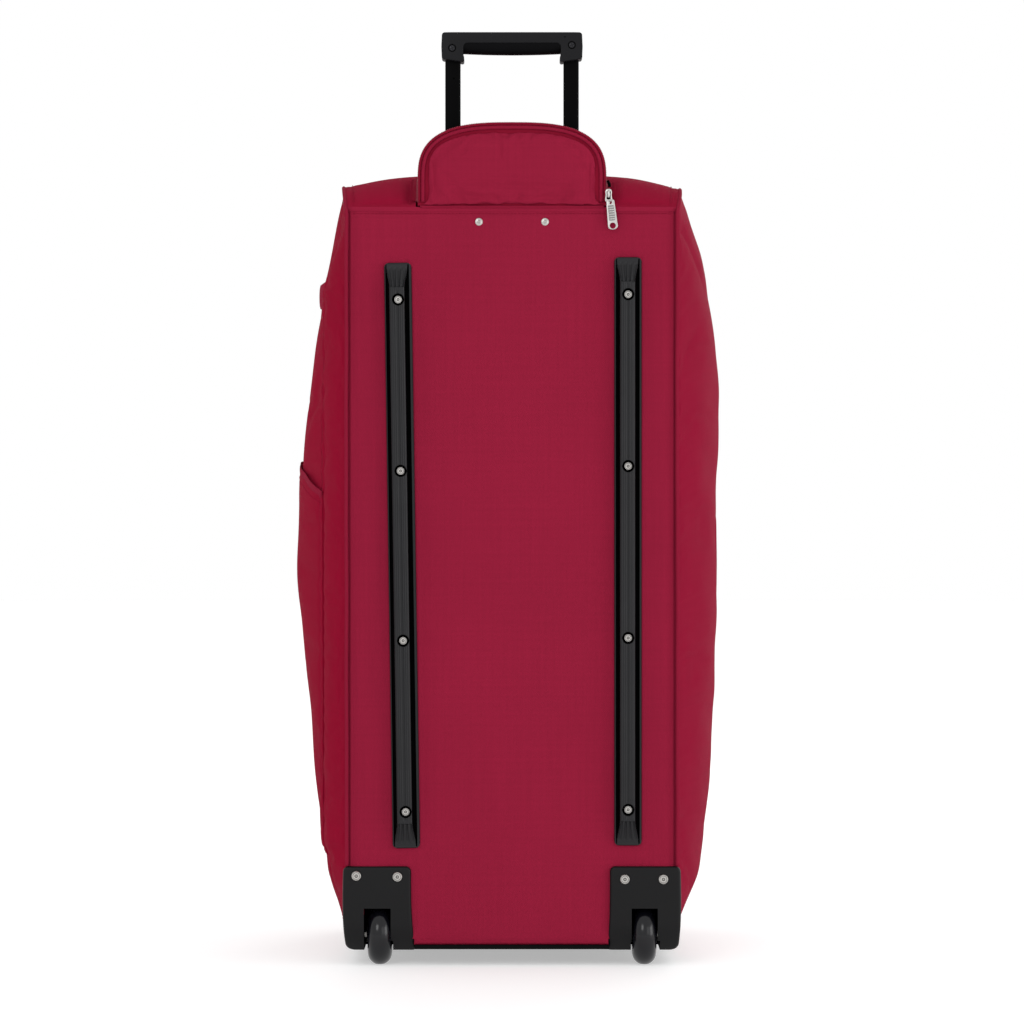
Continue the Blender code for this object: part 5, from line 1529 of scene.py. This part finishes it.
def make_housing(side, name):
    """A moulded cap whose face rolls away to the foot, with a slot for the wheel whose inner walls get painted
    shade.
    """
    low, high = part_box(f"wheel_housing_{name}")
    x, z, gap = housing_grid(side)
    bevel = 0.0030
    short = bevel - np.clip(gap, 0, bevel)
    drop = bevel - np.sqrt(np.maximum(bevel ** 2 - short ** 2, 0.0))
    roll = 0.0125 * np.clip((0.042 - z) / (0.042 - HOUSING_LOW), 0, 1) ** 2
    face = np.stack([x, low.y - 0.0004 + drop + roll, z], -1)
    back = np.stack([x, np.full_like(x, high.y), z], -1)
    cap = closed_block(f"wheel_cap_{name}", face, back, "bag", BLACK,
                       replaces=(f"wheel_housing_{name}",), crisp=40)
    slot_x = (-0.1456, -0.1192) if side < 0 else (0.1176, 0.1432)
    wide = sorted((side * 0.1171, side * 0.1456))
    cut_with(cap, box_cutter((slot_x[0], low.y - 0.02, -0.01), (slot_x[1], -0.1660, 0.0565)),
             box_cutter((wide[0], -0.1692, -0.01), (wide[1], -0.118, 0.0615)))
    # The walls inside the slot get painted shade.
    cap.data.materials.append(PAINTED_SHADE_BLACK)
    for patch in cap.data.polygons:
        at = patch.center
        if wide[0] - 0.001 < at.x < wide[1] + 0.001 and low.y + 0.002 < at.y < -0.1178 and at.z < 0.0617:
            patch.material_index = int(patch.normal.y > -0.6 or at.y > -0.160)
    cap.data.shade_smooth()
    cap.data.set_sharp_from_angle(angle=math.radians(40))
    middle = (wide[0] + wide[1]) / 2
    # A near-black plate behind the wheel, painted shade deep in the slot.
    shade_plate = rounded_rect((wide[1] - wide[0]) / 2, 0.0215, 0.0010, 2) + (middle, 0.0385)
    pillow(f"wheel_well_shade_plate_{name}", shade_plate, -0.1172, -0.1180, 0.0002, "bag", PAINTED_SHADE_BLACK, steps=1)
    spots = {-1: ((-0.1126, 0.0877), (-0.1529, 0.0886)), 1: ((0.1109, 0.0853), (0.1487, 0.0853))}[side]
    for k, (spot_x, spot_z) in enumerate(spots, 1):
        make_rivet(f"housing_rivet_head_{name}_{k}", (spot_x, low.y - 0.0002, spot_z), 0.0049, 0.0022,
                   (f"housing_rivet_{name}_{k}",))


def make_wheel(name):
    low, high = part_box(f"tyre_{name}")
    centre = (low + high) / 2
    radius = (high.z - low.z) / 2 + 0.0012
    round_half = 0.0118
    crown = [(radius - round_half + round_half * math.cos(a), round_half * math.sin(a))
             for a in np.linspace(-1.42, 1.42, 27)]
    crown += [(0.0153, 0.0102), (0.0153, -0.0102)]
    body = f"wheel_{name}"
    turned(f"tyre_tread_{name}", crown, centre, (1, 0, 0), body, RUBBER, 72,
           replaces=(f"tyre_{name}",))
    low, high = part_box(f"hub_{name}")
    reach = (high.x - low.x) / 2
    profile = [(0.0035, -reach), (0.0055, -reach), (0.0060, -reach + 0.0012), (0.0062, -0.0060),
               (0.0120, -0.0056), (0.0135, -0.0080), (0.0149, -0.0080), (0.0149, 0.0080), (0.0135, 0.0080),
               (0.0120, 0.0056), (0.0062, 0.0060), (0.0060, reach - 0.0012), (0.0055, reach),
               (0.0035, reach)]
    hub = turned(f"wheel_hub_{name}", profile, centre, (1, 0, 0), body, BLACK, 48,
                 replaces=(f"hub_{name}",))
    holes = []
    for k in range(5):
        angle = 2 * math.pi * k / 5
        at = Vector((centre.x, centre.y + 0.0092 * math.cos(angle), centre.z + 0.0092 * math.sin(angle)))
        holes.append(rod_cutter(at - Vector((0.02, 0, 0)), at + Vector((0.02, 0, 0)), 0.0019, 16))
    cut_with(hub, *holes)
    for sign in (-1, 1):
        ring = [(0.0031, 0.0), (0.0080, 0.0), (0.0083, 0.0004), (0.0080, 0.0010), (0.0031, 0.0010)]
        turned(f"wheel_washer_{name}_{'in' if sign < 0 else 'out'}", ring,
               (centre.x + sign * (reach + 0.0001), centre.y, centre.z), (sign, 0, 0), body,
               NICKEL, 32)


# ---------------------------------------------------------------- base, lining and foot
def slab(name, outline, low, high, radius, body, look, replaces=()):
    """A pillow laid flat: its outline in X and Y, its rounded face at the bottom."""
    piece = pillow(name, outline, high, low, radius, body, look, replaces=replaces)
    turn = Matrix(((1, 0, 0, 0), (0, 0, 1, 0), (0, 1, 0, 0), (0, 0, 0, 1)))
    piece.data.transform(turn)
    fix_normals(piece)
    piece.data.set_sharp_from_angle(angle=math.radians(35))
    return piece


def make_base():
    low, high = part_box("base_board")
    outline = rounded_rect(high.x, (high.y - low.y) / 2, 0.018, 6) + (0.0, (low.y + high.y) / 2)
    outline = round_trip(outline, 0.008)
    # The tray is near black, painted shade under the bag.
    board = slab("base_tray", outline, low.z - 0.0004, high.z, 0.0014, "bag", UNDERSIDE_SHADE_BLACK,
                 replaces=("base_board",))
    cutters = []
    for side, _ in SIDES:
        a, b = sorted((side * 0.0955, side * 0.18))
        cutters.append(box_cutter((a, -0.19, 0.0), (b, -0.0950, 0.03)))
    cut_with(board, *cutters)
    for k, x in enumerate(np.linspace(-0.078, 0.078, 4)):
        rail = np.array([(x, y, low.z - 0.0002) for y in np.linspace(-0.155, 0.085, 30)])
        swept(f"base_rib_{k}", rail, (0, 0, -1), rounded_rect(0.0030, 0.0016, 0.0010, 3), "bag",
              BLACK)
    low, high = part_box("foot_bar")
    outline = rounded_rect(high.x, (high.y - low.y) / 2, 0.012, 6) + (0.0, (low.y + high.y) / 2)
    outline = round_trip(outline, 0.004)
    foot = slab("foot_rail", outline, low.z, high.z, 0.0035, "bag", BLACK,
                replaces=("foot_bar",))
    cut_with(foot, *[box_cutter((x - 0.0012, low.y - 0.01, -0.01), (x + 0.0012, high.y + 0.01, 0.0016))
                     for x in np.linspace(-0.084, 0.084, 9)])
    hem = []
    for x in np.linspace(-0.155, 0.155, 60):
        hem.append((x, FRONT_Y + 0.0004, BASE_Z + 0.0010))
    swept("base_front_hem", np.array(hem), (0, 1, 0), rounded_rect(0.0032, 0.0011, 0.0008, 3), "bag",
          RED_PIPE)
    for side, name in SIDES:
        ss = np.linspace(0.245, 0.985, 60)
        line = side_points(side, ss, np.full(60, BASE_Z + 0.0012), 0.0004)
        swept(f"base_side_hem_{name}", line, (side, 0, 0), rounded_rect(0.0032, 0.0011, 0.0008, 3), "bag",
              RED_PIPE)


def make_lining():
    """The lining sheet inside, over the trolley tubes."""
    xs = np.linspace(-0.148, 0.148, 70)
    zs = np.linspace(0.108, 0.690, 120)
    x, z = np.meshgrid(xs, zs)
    over = 0.0270 * (1 - np.minimum(1, np.abs(x) / 0.112) ** 6) * (1 - np.abs((z - 0.399) / 0.291) ** 10)
    y = -0.1630 + over + 0.0012 * ripple(x, z, 0.09, 101) * (1 - np.abs(x / 0.148) ** 4)
    points = np.stack([x, y, z], -1)
    sheet = cloth_panel("back_lining_sheet", points, "bag", (LINING,), outward=-1,
                        thick=0.0008)


# ---------------------------------------------------------------- trolley handle
GRIP_SCREWS = (("left", -0.0590, 0.9034), ("right", 0.0590, 0.9063))


def grip_outline(inner):
    """The frame of the grip seen from behind: a top band and two end blocks."""
    band_low, bend = 0.9084, 0.0042
    half = [((inner - bend) * t, band_low) for t in np.linspace(0, 0.98, 12)]

    def arc(cx, cz, r, start, stop, count=6):
        for k in range(count + 1):
            angle = math.radians(start + (stop - start) * k / count)
            half.append((cx + r * math.cos(angle), cz + r * math.sin(angle)))

    arc(inner - bend, band_low - bend, bend, 90, 4)
    half.extend((inner, z) for z in (0.9000, 0.8970))
    half.append((inner - 0.0008, 0.8945))
    arc(inner + 0.0010, 0.8898 + 0.0018, 0.0018, 182, 265, 4)
    arc(GRIP_HALF - 0.0014, 0.8926 + 0.0022, 0.0022, 275, 355, 4)
    half.append((GRIP_HALF + 0.0012, 0.9050))
    arc(GRIP_HALF - 0.0023, GRIP_HIGH - 0.0030, 0.0030, 5, 88)
    half.extend(((GRIP_HALF - 0.004) * t, GRIP_HIGH + 0.0001) for t in np.linspace(0.95, 0, 12))
    return np.array(half + [(-x, z) for x, z in reversed(half[1:-1])])


def make_grip():
    """The moulded grip: two end blocks and a top band, over a bar with a bowed, rounded underside."""
    inner = GRIP_HALF - 0.0205
    outline = grip_outline(inner)
    rear = pillow("grip_skin_rear", outline, TUBE_Y - 0.0001, TUBE_Y - 0.0117, 0.0011, "trolley_handle",
                  GRIP_BLACK, steps=5, replaces=("grip_rear_shell",), crisp=30)
    fore = pillow("grip_skin_front", outline, TUBE_Y + 0.0001, TUBE_Y + 0.0117, 0.0011, "trolley_handle",
                  GRIP_BLACK, steps=5, replaces=("grip_front_shell",), crisp=30)
    for piece in (rear, fore):
        cutters = [box_cutter((-0.0118, TUBE_Y - 0.0047, 0.9045), (0.0118, TUBE_Y + 0.0047, 0.93))]
        for side, _ in SIDES:
            socket = rounded_rect(0.0072, 0.0052, 0.0028, 3) + (side * TUBE_X, TUBE_Y)
            cutters.append(prism_cutter(socket, 0.87, 0.9015))
        if piece is rear:
            cutters += [rod_cutter((x, -0.20, z), (x, -0.1595, z), 0.0041, 28) for _, x, z in GRIP_SCREWS]
            cutters.append(rod_cutter((0.0521, -0.20, 0.9142), (0.0521, -0.1605, 0.9142), 0.0009, 14))
        cut_with(piece, *cutters)
        piece.data.set_sharp_from_angle(angle=math.radians(30))

    def section(k):
        deep = 0.9098 - (0.8974 + 0.0013 * (2 * k - 1) ** 2)
        height = np.where(np.sin(TURN24) < 0, deep, 0.0050)
        return np.stack([0.0108 * np.cos(TURN24), height * np.sin(TURN24)], -1)

    path = np.array([(x, TUBE_Y, 0.9098) for x in np.linspace(-inner - 0.0012, inner + 0.0012, 40)])
    # The bar's underside is painted darker than the grip, as shade.
    bar = swept("grip_underside", path, (0, 0, 1), section, "trolley_handle", UNDERSIDE_SHADE_BLACK,
                crisp=60)
    cut_with(bar, box_cutter((-0.0118, TUBE_Y - 0.0047, 0.9045), (0.0118, TUBE_Y + 0.0047, 0.93)))
    for name, x, z in GRIP_SCREWS:
        profile = [(0.0, 0.0), (0.0033, 0.0), (0.0033, 0.0006), (0.0026, 0.0013), (0.0, 0.0016)]
        screw = turned(f"grip_screw_head_{name}", profile, (x, -0.1598, z), (0, -1, 0), "trolley_handle",
                       SCREW, 28, replaces=(f"grip_screw_{name}",))
        blades = []
        for turn in (0.35, 0.35 + math.pi / 2):
            reach = Vector((math.cos(turn), 0, math.sin(turn))) * 0.0020
            at = Vector((x, -0.1612, z))
            blades.append(rod_cutter(at - reach, at + reach, 0.0005, 8))
        cut_with(screw, *blades)


def make_tubes():
    for side, name in SIDES:
        low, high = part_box(f"inner_tube_{name}")
        x = (low.x + high.x) / 2
        path = np.array([(x, TUBE_Y, z) for z in np.linspace(low.z, high.z, 24)])
        tube = swept(f"stage_tube_{name}", path, (0, -1, 0), rounded_rect(0.0076, 0.0050, 0.0030, 5),
                     "trolley_handle", TUBE_BLACK, crisp=50, replaces=(f"inner_tube_{name}",))
        if side < 0:
            cut_with(tube, rod_cutter((x + 0.0010, -0.17, 0.8740), (x + 0.0010, -0.1535, 0.8740), 0.0011, 16))


# ---------------------------------------------------------------- materials on the CAD parts that show
CAD_LOOKS = {"axle_left": NICKEL, "axle_right": NICKEL, "back_board": BOARD, "handle_well": LINING,
             "trolley_bezel": BLACK, "trolley_bracket": BLACK, "outer_tube_left": TUBE_BLACK,
             "outer_tube_right": TUBE_BLACK, "bezel_rivet_left": NICKEL, "bezel_rivet_right": NICKEL,
             "tube_glide_left": BLACK, "tube_glide_right": BLACK, "button_spring": NICKEL,
             "release_button": RIB_BLACK}


def paint_cad():
    for name, look in CAD_LOOKS.items():
        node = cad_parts[name]
        if not node.data.uv_layers:
            node.data.uv_layers.new(name="UVMap")
        node.data.materials.clear()
        node.data.materials.append(look)


# ---------------------------------------------------------------- floor, light and camera
def make_stage():
    mesh = bpy.data.meshes.new("floor")
    bm = bmesh.new()
    bmesh.ops.create_grid(bm, x_segments=1, y_segments=1, size=14.0)
    bm.to_mesh(mesh)
    bm.free()
    floor = bpy.data.objects.new("floor", mesh)
    bpy.context.scene.collection.objects.link(floor)
    look = new_material("white floor", (0.62, 0.62, 0.62), 0.55, specular=0.1)
    n = Nodes(look)
    n.tint((0.62, 0.62, 0.62),
           n.spread(n.noise(n.add("ShaderNodeTexCoord").outputs["Object"], 3.0), 0.99, 1.01))
    look.node_tree.nodes["Principled BSDF"].inputs["Emission Color"].default_value = (1.0, 1.0, 1.0, 1.0)
    look.node_tree.nodes["Principled BSDF"].inputs["Emission Strength"].default_value = 0.42
    mesh.materials.append(look)


def add_area(name, where, towards, size, power):
    light = bpy.data.lights.new(name, "AREA")
    light.shape = "RECTANGLE"
    light.size, light.size_y = size
    light.energy = power
    lamp = bpy.data.objects.new(name, light)
    bpy.context.scene.collection.objects.link(lamp)
    lamp.location = where
    lamp.rotation_euler = (Vector(towards) - Vector(where)).to_track_quat("-Z", "Y").to_euler()
    return lamp


def light_scene():
    scene = bpy.context.scene
    world = bpy.data.worlds.new("studio")
    scene.world = world
    world.use_nodes = True
    background = world.node_tree.nodes["Background"]
    background.inputs["Color"].default_value = (1.0, 1.0, 1.0, 1.0)
    background.inputs["Strength"].default_value = 1.0
    scene.view_settings.view_transform = "Standard"
    add_area("key", (-1.3, -3.2, 1.9), (0, -0.1, 0.45), (1.2, 1.2), 19)
    add_area("fill", (1.8, -2.6, 0.9), (0, -0.1, 0.4), (1.4, 1.4), 6)
    add_area("side", (2.9, -1.3, 0.7), (0.1, 0.0, 0.4), (1.4, 1.4), 20)
    add_area("front", (1.6, 3.2, 1.9), (0, 0.1, 0.45), (1.2, 1.2), 20)


def add_camera():
    lens = bpy.data.cameras.new("camera")
    lens.sensor_width = 36.0
    lens.angle = math.radians(16.37)
    camera = bpy.data.objects.new("camera", lens)
    bpy.context.scene.collection.objects.link(camera)
    camera.location = (0.0, -3.67, 0.446)
    camera.rotation_euler = (math.pi / 2, 0.0, 0.0)
    bpy.context.scene.camera = camera


# ---------------------------------------------------------------- build
make_back()
for side_sign, side_name in SIDES:
    make_side(side_sign, side_name)
    make_piping(side_sign, side_name)
    make_skid(side_sign, side_name)
    make_housing(side_sign, side_name)
    make_wheel(side_name)
    make_carry_handle(side_sign, side_name)
make_top()
make_hatch_zip()
make_front()
make_lid_fabric()
make_front_pocket()
make_side_pocket()
make_grab_handle()
make_flap()
make_zips()
make_base()
make_lining()
make_grip()
make_tubes()
paint_cad()
make_stage()
light_scene()
add_camera()
